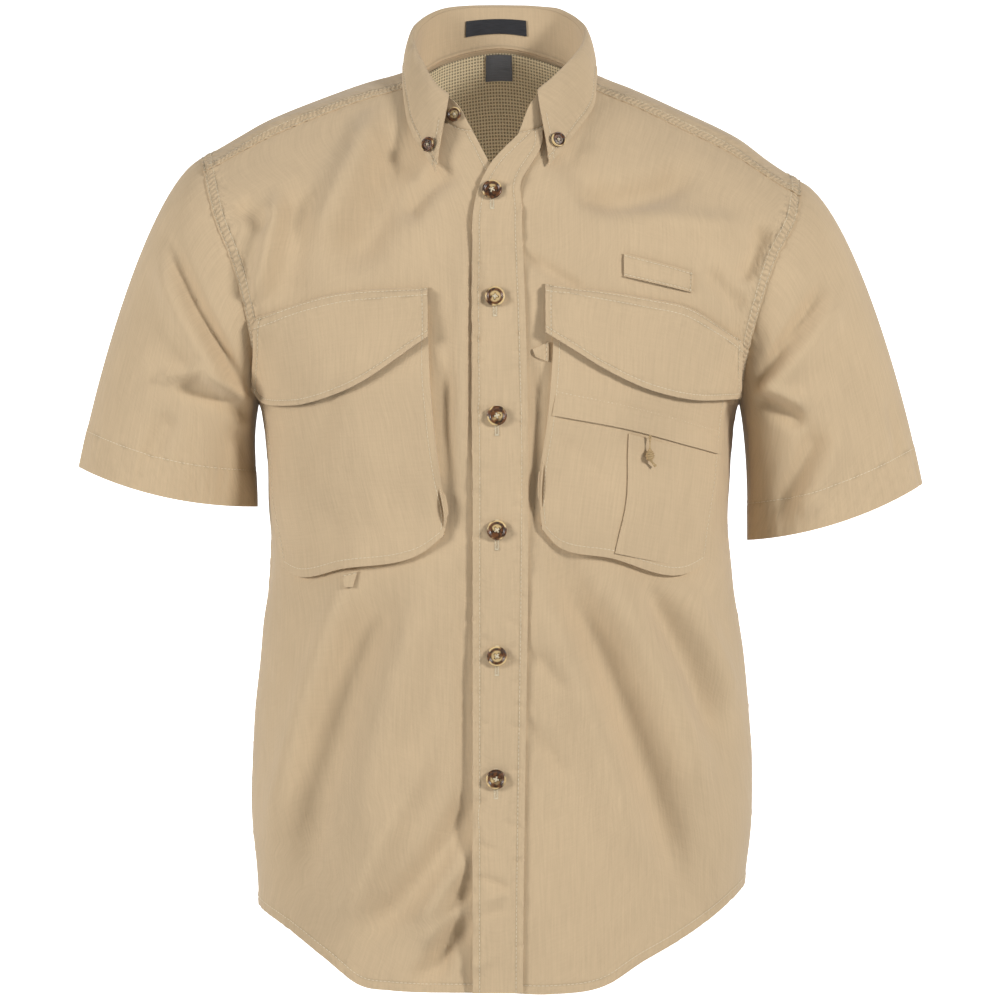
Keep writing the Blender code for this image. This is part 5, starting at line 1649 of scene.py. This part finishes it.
@functools.lru_cache(maxsize=None)
def cotton():
    """Washed plain-weave cotton: matt, with slubs along the warp and crinkled seams.

    It gives the eye fine upright streaks, a little tone change from washing, pulled rungs
    between the rows of stitches and small creases beside them. The rungs and the small creases
    are painted lighter on their tops and darker in their troughs, as painted light and shade,
    though the lighter tops of the creases are partly wear, and the grooves under the stitches
    are painted darker as painted shade. The yarns are 0.35 mm apart, which the picture can't
    show, so the weave is drawn at 1.3 mm.
    """
    made, tree, shader = new_material(
        "washed_cotton", Roughness=0.88, Sheen_Weight=0.12, Sheen_Roughness=0.6
    )
    cut = add_node(tree, ATTRIBUTE, attribute_name="cut", out="Vector")
    place = add_node(tree, PLACES, out="Object")
    near_seam, rung, band, groove = (
        add_node(tree, ATTRIBUTE, attribute_name=name, out="Fac")
        for name in ("crinkle", "rung", "band", "groove")
    )
    base = linear(settings().cloth_code)
    dark, light = shaded(base, 0.76), shaded(base, 1.13)
    spots = []
    for source, across, down, shift, detail in (
        (cut, 1.5, 34.0, 0, 3.0),
        (cut, 26.0, 1.7, 4, 2.0),
        (cut, 1.3, 1.3, 9, 1.0),
        (place, 70.0, 90.0, 0, 3.0),
        (cut, 4.5, 6.0, 6, 3.0),
        (cut, 22.0, 34.0, 1, 2.0),
    ):
        sockets = {"Vector": source, "Scale": per_mm(across, down), "Location": (shift, shift, 0)}
        spot_place = add_node(tree, MAPPING, sockets)
        sockets = {"Vector": spot_place, "Scale": 1.0, "Detail": detail}
        spots.append(add_node(tree, NOISE, sockets))
    slub, weft, weave, wash, crease, rumple = spots

    # The rungs are a wave along the band, put out of step by the small creases. The wave gives their
    # relief, and their painted highlight on the tops and painted shade in the troughs.
    shift = add_node(tree, MATHS, {0: crease, 1: 1.1, 2: rung}, operation="MULTIPLY_ADD")
    turns = add_node(tree, MATHS, {0: shift, 1: 2 * math.pi}, operation="MULTIPLY")
    wave = add_node(tree, MATHS, {0: turns}, operation="SINE")
    rungs = add_node(tree, MATHS, {0: wave, 1: band}, operation="MULTIPLY")

    tone = base
    for source, low, high, share in (
        (slub, 0.30, 0.70, 0.30),
        (weft, 0.30, 0.70, 0.10),
        (wash, 0.35, 0.65, 0.14),
    ):
        spread = add_node(tree, RANGE, {"Value": source, "From Min": low, "From Max": high})
        streaks = add_node(tree, MIX, {0: spread, 6: dark, 7: light}, **COLOURS)
        tone = add_node(tree, MIX, {0: share, 6: tone, 7: streaks}, **COLOURS)
    for mask, source, low, high, share, colour in (
        # beside the seams the small creases are painted lighter on their tops, partly wear and partly a
        # painted highlight, and darker in their troughs, a painted shade
        (near_seam, crease, 0.46, 0.68, 0.40, light),
        (near_seam, crease, 0.50, 0.32, 0.50, dark),
        # the rungs get painted shade in their troughs and a painted highlight on their tops
        (band, rungs, -0.1, -0.9, 0.75, dark),
        (band, rungs, 0.3, 1.0, 0.35, light),
        # the grooves under the rows of stitches are painted darker: painted shade
        (groove, groove, 0.1, 0.8, 0.80, dark),
    ):
        sockets = {"Value": source, "From Min": low, "From Max": high, "To Max": share}
        spread = add_node(tree, RANGE, sockets)
        factor = add_node(tree, MATHS, {0: spread, 1: mask}, operation="MULTIPLY")
        tone = add_node(tree, MIX, {0: factor, 6: tone, 7: colour}, **COLOURS)
    tree.links.new(tone, shader["Base Color"])

    seam_relief = add_node(tree, MATHS, {0: crease, 1: near_seam}, operation="MULTIPLY")
    height = 0.0
    for source, share in (
        (slub, 0.30),
        (weft, 0.16),
        (weave, 0.14),
        (rumple, 1.9),
        (seam_relief, 2.6),
        (rungs, 0.34),
    ):
        sockets = {0: source, 1: share, 2: height}
        height = add_node(tree, MATHS, sockets, operation="MULTIPLY_ADD")
    relief = add_node(tree, BUMP, {"Strength": 0.6, "Distance": 0.0011, "Height": height})
    tree.links.new(relief, shader["Normal"])
    return made


def add_strands(tree, shader, source, size, detail, span, tones, relief=None):
    """Strands of two tones across a span of their noise, with a relief of strength, depth."""
    place = add_node(tree, MAPPING, {"Vector": source, "Scale": per_mm(*size)})
    strand = add_node(tree, NOISE, {"Vector": place, "Scale": 1.0, "Detail": detail})
    spread = add_node(tree, RANGE, {"Value": strand, "From Min": span[0], "From Max": span[1]})
    tone = add_node(tree, MIX, {0: spread, 6: tones[0], 7: tones[1]}, **COLOURS)
    tree.links.new(tone, shader["Base Color"])
    if relief:
        sockets = {"Strength": relief[0], "Distance": relief[1], "Height": strand}
        tree.links.new(add_node(tree, BUMP, sockets), shader["Normal"])


@functools.lru_cache(maxsize=None)
def thread_material():
    """Spun polyester sewing thread: a little glossier and paler than the cloth it holds."""
    made, tree, shader = new_material("spun_thread", Roughness=0.58, Sheen_Weight=0.1)
    place = add_node(tree, PLACES, out="Object")
    base = linear(trims().thread_code)
    add_strands(tree, shader, place, (0.9, 0.9), 2.0, (0.3, 0.7), (shaded(base, 0.78), base))
    return made


@functools.lru_cache(maxsize=None)
def satin_material():
    """Woven black satin label, left blank: fine level ribs with a soft shine, their tops painted lighter
    as a painted sheen.
    """
    made, tree, shader = new_material("label_satin", Roughness=0.42, Sheen_Weight=0.3)
    cut = add_node(tree, ATTRIBUTE, attribute_name="cut", out="Vector")
    base = linear(trims().label_code)
    # the lighter tone on the raised ribs is a painted sheen
    tones = (base, shaded(base, 2.2))
    add_strands(tree, shader, cut, (9.0, 0.7), 1.0, (0.3, 0.7), tones, (0.4, 0.0003))
    return made


@functools.lru_cache(maxsize=None)
def cord_material():
    """Braided cotton cord: fine strands, with painted shade in the gaps between them."""
    made, tree, shader = new_material("braided_cord", Roughness=0.8)
    place = add_node(tree, PLACES, out="Object")
    base = linear(trims().cord_code)
    # the darker tone in the gaps between the strands is painted shade
    tones = (shaded(base, 0.62), base)
    add_strands(tree, shader, place, (0.9, 0.9), 2.0, (0.35, 0.6), tones, (0.7, 0.0005))
    return made


# The net's holes: distance from hole to hole, and slant of their rows
NET_PITCH = 0.0048
NET_SLANT = 0.8


@functools.lru_cache(maxsize=None)
def net_material():
    """Knitted polyester net: slanting rows of holes between thin bars, in the shade of the back.
    The holes are painted dark, a painted shade for the shaded cloth seen through them, and the
    net's colour is paler than the net's own, a painted light for the inside of the back. The
    real holes are about 1 mm, drawn larger so that they show."""
    made, tree, shader = new_material("knitted_net", Roughness=0.75)
    cut = add_node(tree, ATTRIBUTE, attribute_name="cut", out="Vector")
    waves = []
    for down in (NET_SLANT, -NET_SLANT):
        sockets = {0: cut, 1: (1.0, down, 0.0)}
        slant = add_node(
            tree, "ShaderNodeVectorMath", sockets, operation="DOT_PRODUCT", out="Value"
        )
        sockets = {0: slant, 1: 2 * math.pi / NET_PITCH}
        turns = add_node(tree, MATHS, sockets, operation="MULTIPLY")
        waves.append(add_node(tree, MATHS, {0: turns}, operation="SINE"))
    crossed = add_node(tree, MATHS, {0: waves[0], 1: waves[1]}, operation="MULTIPLY")
    holes = add_node(tree, RANGE, {"Value": crossed, "From Min": 0.05, "From Max": 0.45})
    # the net's colour is paler than the net's own: painted light for the inside of the back
    base = linear(trims().net_and_light_code)
    # the holes are painted dark: painted shade of the cloth seen through them
    tone = add_node(tree, MIX, {0: holes, 6: base, 7: shaded(base, 0.42)}, **COLOURS)
    tree.links.new(tone, shader["Base Color"])
    relief = add_node(tree, BUMP, {"Strength": 0.8, "Distance": -0.0008, "Height": holes})
    tree.links.new(relief, shader["Normal"])
    return made


@functools.lru_cache(maxsize=None)
def horn_material():
    """Cast polyester button with a horn look: glossy, dark brown with cream parts in its rim.

    The attribute "far" is the distance from the button's middle as a share of its radius.
    """
    made, tree, shader = new_material(
        "cast_horn_look", Roughness=0.34, Coat_Weight=0.12, Coat_Roughness=0.2, IOR=1.5
    )
    place = add_node(tree, PLACES, out="Object")
    far = add_node(tree, ATTRIBUTE, attribute_name="far", out="Fac")
    noises = []
    for size, detail in (((9.0, 9.0), 1.0), ((2.4, 4.0), 2.0)):
        spot_place = add_node(tree, MAPPING, {"Vector": place, "Scale": per_mm(*size)})
        sockets = {"Vector": spot_place, "Scale": 1.0, "Detail": detail}
        noises.append(add_node(tree, NOISE, sockets))
    cloud, streak = noises
    veins, rim, face, pale = (
        add_node(tree, RANGE, {"Value": source, "From Min": low, "From Max": high})
        for source, low, high in (
            (streak, 0.42, 0.58),
            (far, 0.80, 0.90),
            (far, 0.64, 0.50),
            (cloud, 0.48, 0.56),
        )
    )
    dark, brown, cream = (
        linear(code) for code in (trims().horn_dark, trims().horn_brown, trims().horn_cream)
    )
    tone = add_node(tree, MIX, {0: veins, 6: dark, 7: brown}, **COLOURS)
    for mask, share in ((rim, 1.0), (face, 0.75)):
        factor = add_node(tree, MATHS, {0: mask, 1: pale}, operation="MULTIPLY")
        factor = add_node(tree, MATHS, {0: factor, 1: share}, operation="MULTIPLY")
        tone = add_node(tree, MIX, {0: factor, 6: tone, 7: cream}, **COLOURS)
    tree.links.new(tone, shader["Base Color"])
    return made


@functools.lru_cache(maxsize=None)
def backdrop_material():
    """Matt paper backdrop: plain and pale. Its wall glows evenly, by the attribute "glow"."""
    white = (1.0, 1.0, 1.0, 1.0)
    made, tree, shader = new_material("backdrop_paper", Roughness=0.95, Emission_Color=white)
    glow = add_node(tree, ATTRIBUTE, attribute_name="glow", out="Fac")
    strength = add_node(tree, MATHS, {0: glow, 1: 0.95}, operation="MULTIPLY")
    tree.links.new(strength, shader["Emission Strength"])
    place = add_node(tree, PLACES, out="Object")
    grain = add_node(tree, NOISE, {"Vector": place, "Scale": 2.5, "Detail": 1.0})
    base = linear(studio().paper_code)
    tone = add_node(tree, MIX, {0: grain, 6: shaded(base, 0.995), 7: base}, **COLOURS)
    tree.links.new(tone, shader["Base Color"])
    return made


class ShirtCloth(bpy.types.PropertyGroup):
    """Sizes and colour of the cloth."""

    crease: bpy.props.FloatProperty(
        name="Creases",
        description="Height of the creases, times that in their tables",
        default=2.0,
        min=0.0,
        max=2.5,
        subtype="FACTOR",
    )
    pucker: bpy.props.FloatProperty(
        name="Puckers",
        description="Height of the puckers at seams, times the usual",
        default=1.0,
        min=0.0,
        max=2.0,
        subtype="FACTOR",
    )
    cloth_code: bpy.props.StringProperty(
        name="Cloth colour", description="sRGB hex colour of the cloth", default="#c3ab89"
    )


class ShirtTrims(bpy.types.PropertyGroup):
    """Sizes and colours of the stitching, buttons and labels."""

    pitch: bpy.props.FloatProperty(
        name="Stitch length",
        description="Distance from stitch to stitch",
        default=0.0032,
        min=0.0015,
        max=0.006,
        unit="LENGTH",
    )
    thread: bpy.props.FloatProperty(
        name="Thread",
        description="Width of the sewing thread",
        default=0.00065,
        min=0.0002,
        max=0.001,
        unit="LENGTH",
    )
    thread_code: bpy.props.StringProperty(
        name="Thread colour", description="sRGB hex colour of the thread", default="#e2d4b6"
    )
    # paler than the net's own colour: painted light for the inside of the back
    net_and_light_code: bpy.props.StringProperty(
        name="Net colour", description="sRGB hex colour of the net", default="#dccba6"
    )
    label_code: bpy.props.StringProperty(
        name="Label colour", description="sRGB hex colour of the labels", default="#1b1b1e"
    )
    cord_code: bpy.props.StringProperty(
        name="Cord colour", description="sRGB hex colour of the cord", default="#b59a70"
    )
    horn_dark: bpy.props.StringProperty(
        name="Horn, dark", description="sRGB hex of the dark streaks", default="#35200f"
    )
    horn_brown: bpy.props.StringProperty(
        name="Horn, brown", description="sRGB hex of the brown clouds", default="#6b4222"
    )
    horn_cream: bpy.props.StringProperty(
        name="Horn, cream", description="sRGB hex of the cream parts", default="#dcc08a"
    )


class ShirtStudio(bpy.types.PropertyGroup):
    """Camera, light and backdrop."""

    distance: bpy.props.FloatProperty(
        name="Camera distance",
        description="From the camera to the shirt's middle",
        default=3.5,
        min=1.5,
        max=6.0,
        unit="LENGTH",
    )
    key: bpy.props.FloatProperty(
        name="Key light", description="Power of the key light", default=66.0, min=0.0, unit="POWER"
    )
    fill: bpy.props.FloatProperty(
        name="Fill light", description="Power of the fill light", default=52.0, min=0.0, unit="POWER"
    )
    inner: bpy.props.FloatProperty(
        name="Inner light", description="Power of the light inside", default=0.20, min=0.0, unit="POWER"
    )
    paper_code: bpy.props.StringProperty(
        name="Backdrop colour", description="sRGB hex colour", default="#f6f6f5"
    )


class SHIRT_OT_body(bpy.types.Operator):
    """Builds the two fronts, the back and the yoke."""

    bl_idname = "shirt.body"
    bl_label = "Build the body"

    def execute(self, context):
        for name in ("front_right", "front_left", "back", "yoke"):
            add_cloth(name, cotton())
        return {"FINISHED"}


class SHIRT_OT_sleeves(bpy.types.Operator):
    """Builds the two short sleeves."""

    bl_idname = "shirt.sleeves"
    bl_label = "Build the sleeves"

    def execute(self, context):
        for name in ("sleeve_right", "sleeve_left"):
            add_cloth(name, cotton())
        return {"FINISHED"}


class SHIRT_OT_collar(bpy.types.Operator):
    """Builds the collar band and the collar leaf."""

    bl_idname = "shirt.collar"
    bl_label = "Build the collar"

    def execute(self, context):
        for name in ("collar_stand", "collar"):
            add_cloth(name, cotton())
        return {"FINISHED"}


class SHIRT_OT_overlays(bpy.types.Operator):
    """Builds the placket, pockets, flaps, tab and loops."""

    bl_idname = "shirt.overlays"
    bl_label = "Build what is sewn on the fronts"

    def execute(self, context):
        for name in ("placket", *PATCHES):
            add_cloth(name, cotton())
        return {"FINISHED"}


class SHIRT_OT_inside(bpy.types.Operator):
    """Builds the net lining and the two blank labels."""

    bl_idname = "shirt.inside"
    bl_label = "Build the inside"

    def execute(self, context):
        add_cloth("back_mesh", net_material(), "net")
        for name in ("care_label", "neck_label"):
            add_cloth(name, satin_material(), "label")
        return {"FINISHED"}


def button_places():
    """Each button's place, size and turn."""
    places = {}
    for number, (x, drop) in enumerate(PLACKET_BUTTONS, 1):
        place = front_place(x, drop, 2 * LAP_GAP + OVERLAY)
        places[f"button_{number}"] = (place, PLACKET_BUTTON_RADIUS, 0.35 * number)
    for name, (carrier, radius) in SMALL_BUTTONS.items():
        centre, out, across, up = nearest_place(cloth_pieces()[carrier]["outer"], name)
        places[name] = ((centre + LAP_GAP * out, out, across, up), radius, 0.6)
    return places


class SHIRT_OT_buttons(bpy.types.Operator):
    """Builds the nine buttons with their crossed threads."""

    bl_idname = "shirt.buttons"
    bl_label = "Build the buttons"

    def execute(self, context):
        thread_parts = []
        for name, (place, radius, turned_by) in button_places().items():
            points, faces = button(place, radius, turned_by)
            far = np.linalg.norm(np.cross(points - place[0], place[1]), axis=1) / radius
            add_mesh(name + "_horn", points, faces, horn_material(), {"far": far}, name, "button")
            thread_parts.append(button_threads(place, radius, turned_by))
        add_mesh("button_threads", *joined(thread_parts), thread_material())
        return {"FINISHED"}


class SHIRT_OT_cord(bpy.types.Operator):
    """Builds the knotted cord of the zip pull."""

    bl_idname = "shirt.cord"
    bl_label = "Build the zip pull"

    def execute(self, context):
        points, faces = knotted_cord()
        add_mesh("zip_pull_cord", points, faces, cord_material(), None, "zip_pull", "cord")
        return {"FINISHED"}


STITCH_GROUPS = {
    "body_stitching": ("front_right", "front_left", "back", "yoke"),
    "sleeve_stitching": ("sleeve_right", "sleeve_left"),
    "collar_stitching": ("collar_stand", "collar", "neck_label", "care_label"),
    "placket_stitching": ("placket",),
    "pocket_stitching": (
        "flap_right",
        "flap_left",
        "zip_fold",
        "pen_pleat",
        "rod_tab",
        "loop_left",
        "loop_right",
    ),
}
POCKET_LINE_CELLS = 120
POCKET_LINE_INSET = 4


def pocket_lines(name):
    """Rows of stitches on a pocket bag, a little inside its edge on three sides."""
    even = np.linspace(0, 1, POCKET_LINE_CELLS + 1)
    turn, drop = patch(name, even, even)
    grid = on_front(turn, drop, lift_of(name) + bag_height(turn, drop))
    facing = normals(grid)
    near, far = POCKET_LINE_INSET, -1 - POCKET_LINE_INSET
    inside = slice(near, -near)
    return [
        (grid[:far, near], facing[:far, near]),
        (grid[far, inside], facing[far, inside]),
        (grid[:far, far], facing[:far, far]),
    ]


class SHIRT_OT_stitching(bpy.types.Operator):
    """Sews all seams, hems and buttonholes with separate stitches."""

    bl_idname = "shirt.stitching"
    bl_label = "Sew the stitching"

    def execute(self, context):
        pitch, thread = trims().pitch, trims().thread
        for group, names in STITCH_GROUPS.items():
            paths = []
            for name in names:
                piece = cloth_pieces()[name]
                paths += stitch_lines(piece["outer"], piece["edges"], piece["ring"])
            parts = [stitches(paths, pitch, thread)]
            if group == "pocket_stitching":
                lines = pocket_lines("pocket_right") + pocket_lines("pocket_left")
                parts.append(stitches(lines, pitch, thread))
            if group == "placket_stitching":
                for x, drop in PLACKET_BUTTONS:
                    place = front_place(x, drop + HOLE_BELOW, LAP_GAP + OVERLAY + 0.0002)
                    parts.append(buttonhole(place))
            add_mesh(group, *joined(parts), thread_material())
        return {"FINISHED"}


# The backdrop: half its width, its near end, the drop of its floor, the distance and top
# of its wall, the bend between them, and the floor's length before the glow
BACKDROP_HALF = 5.0
BACKDROP_NEAR = -4.6
FLOOR = -2.00
WALL_AT = 4.8
WALL_TOP = 5.5
BEND = 1.4
GLOW_RUN = 0.8
# place, target, size
LIGHTS = {
    "key": ((2.2, -1.9, 0.60), (0, 0, -0.33), 0.5),
    "fill": ((-2.4, -1.5, 0.30), (0, 0, -0.33), 0.9),
    "inner": ((0, -0.02, -0.34), (0, 0.10, -0.08), 0.10),
}
AIR_GLOW = 0.24
SENSOR = 36.0
# Width of the view at the shirt, and height of the camera
VIEW_WIDE = 0.78
CAMERA_HEIGHT = -0.338


class SHIRT_OT_stage(bpy.types.Operator):
    """Builds the backdrop, the lights and the camera."""

    bl_idname = "shirt.stage"
    bl_label = "Set the stage"

    def execute(self, context):
        scene = context.scene
        angle = np.linspace(0, QUARTER, 24)
        start = WALL_AT - BEND
        bent = np.stack([start + BEND * np.sin(angle), FLOOR + BEND * (1 - np.cos(angle))], axis=1)
        floor = [[BACKDROP_NEAR, FLOOR], [start - GLOW_RUN, FLOOR]]
        profile = np.vstack([floor, bent, [[WALL_AT, WALL_TOP]]])
        across = np.array([[-BACKDROP_HALF, BACKDROP_HALF]]) + 0 * profile[:, :1]
        depth, height = (profile[:, k : k + 1] + 0 * across for k in (0, 1))
        grid = np.stack([across, depth, height], axis=-1)
        mesh = bpy.data.meshes.new("backdrop")
        faces = quads(numbered(grid))[:, ::-1]
        mesh.from_pydata(grid.reshape(-1, 3).tolist(), [], faces.tolist())
        glow = mesh.attributes.new("glow", "FLOAT", "POINT")
        glow.data.foreach_set("value", (depth > start - 0.01).astype(np.float32).ravel())
        mesh.materials.append(backdrop_material())
        mesh.shade_smooth()
        backdrop = bpy.data.objects.new("backdrop", mesh)
        scene.collection.objects.link(backdrop)
        for name, (place, target, size) in LIGHTS.items():
            lamp = bpy.data.lights.new(name + "_light", "AREA")
            lamp.energy = getattr(studio(), name)
            lamp.size = size
            made = bpy.data.objects.new(name + "_light", lamp)
            made.location = place
            made.visible_camera = False
            aim = np.array(target) - np.array(place)
            flat = math.hypot(aim[0], aim[1])
            made.rotation_euler = (math.atan2(flat, -aim[2]), 0, math.atan2(-aim[0], aim[1]))
            scene.collection.objects.link(made)
        world = bpy.data.worlds.new("studio_air")
        world.use_nodes = True
        sky = world.node_tree.nodes["Background"]
        sky.inputs["Color"].default_value = (1.0, 1.0, 1.0, 1)
        sky.inputs["Strength"].default_value = AIR_GLOW
        scene.world = world
        lens = bpy.data.cameras.new("camera")
        lens.sensor_width = SENSOR
        lens.lens = SENSOR * studio().distance / VIEW_WIDE
        camera = bpy.data.objects.new("camera", lens)
        camera.location = (0.0, -studio().distance, CAMERA_HEIGHT)
        camera.rotation_euler = (QUARTER, 0, 0)
        scene.collection.objects.link(camera)
        scene.camera = camera
        scene.view_settings.view_transform = "Standard"
        return {"FINISHED"}


OPERATORS = (
    SHIRT_OT_body,
    SHIRT_OT_sleeves,
    SHIRT_OT_collar,
    SHIRT_OT_overlays,
    SHIRT_OT_inside,
    SHIRT_OT_buttons,
    SHIRT_OT_cord,
    SHIRT_OT_stitching,
    SHIRT_OT_stage,
)
GROUPS = {"shirt_cloth": ShirtCloth, "shirt_trims": ShirtTrims, "shirt_studio": ShirtStudio}


class SHIRT_PT_panel(bpy.types.Panel):
    """Lists the steps that build the shirt."""

    bl_idname = "SHIRT_PT_panel"
    bl_label = "Button-down shirt"
    bl_space_type = "VIEW_3D"
    bl_region_type = "UI"
    bl_category = "Shirt"

    def draw(self, context):
        for name in GROUPS:
            box = self.layout.box()
            group = getattr(context.scene, name)
            for setting in group.__annotations__:
                box.prop(group, setting)
        for operator in OPERATORS:
            self.layout.operator(operator.bl_idname)


CLASSES = (*GROUPS.values(), *OPERATORS, SHIRT_PT_panel)


def register():
    for made in CLASSES:
        bpy.utils.register_class(made)
    for name, group in GROUPS.items():
        setattr(bpy.types.Scene, name, bpy.props.PointerProperty(type=group))


def unregister():
    for name in GROUPS:
        delattr(bpy.types.Scene, name)
    for made in reversed(CLASSES):
        bpy.utils.unregister_class(made)


def main():
    register()
    bpy.ops.shirt.body()
    bpy.ops.shirt.sleeves()
    bpy.ops.shirt.collar()
    bpy.ops.shirt.overlays()
    bpy.ops.shirt.inside()
    bpy.ops.shirt.buttons()
    bpy.ops.shirt.cord()
    bpy.ops.shirt.stitching()
    bpy.ops.shirt.stage()


if __name__ == "__main__":
    main()
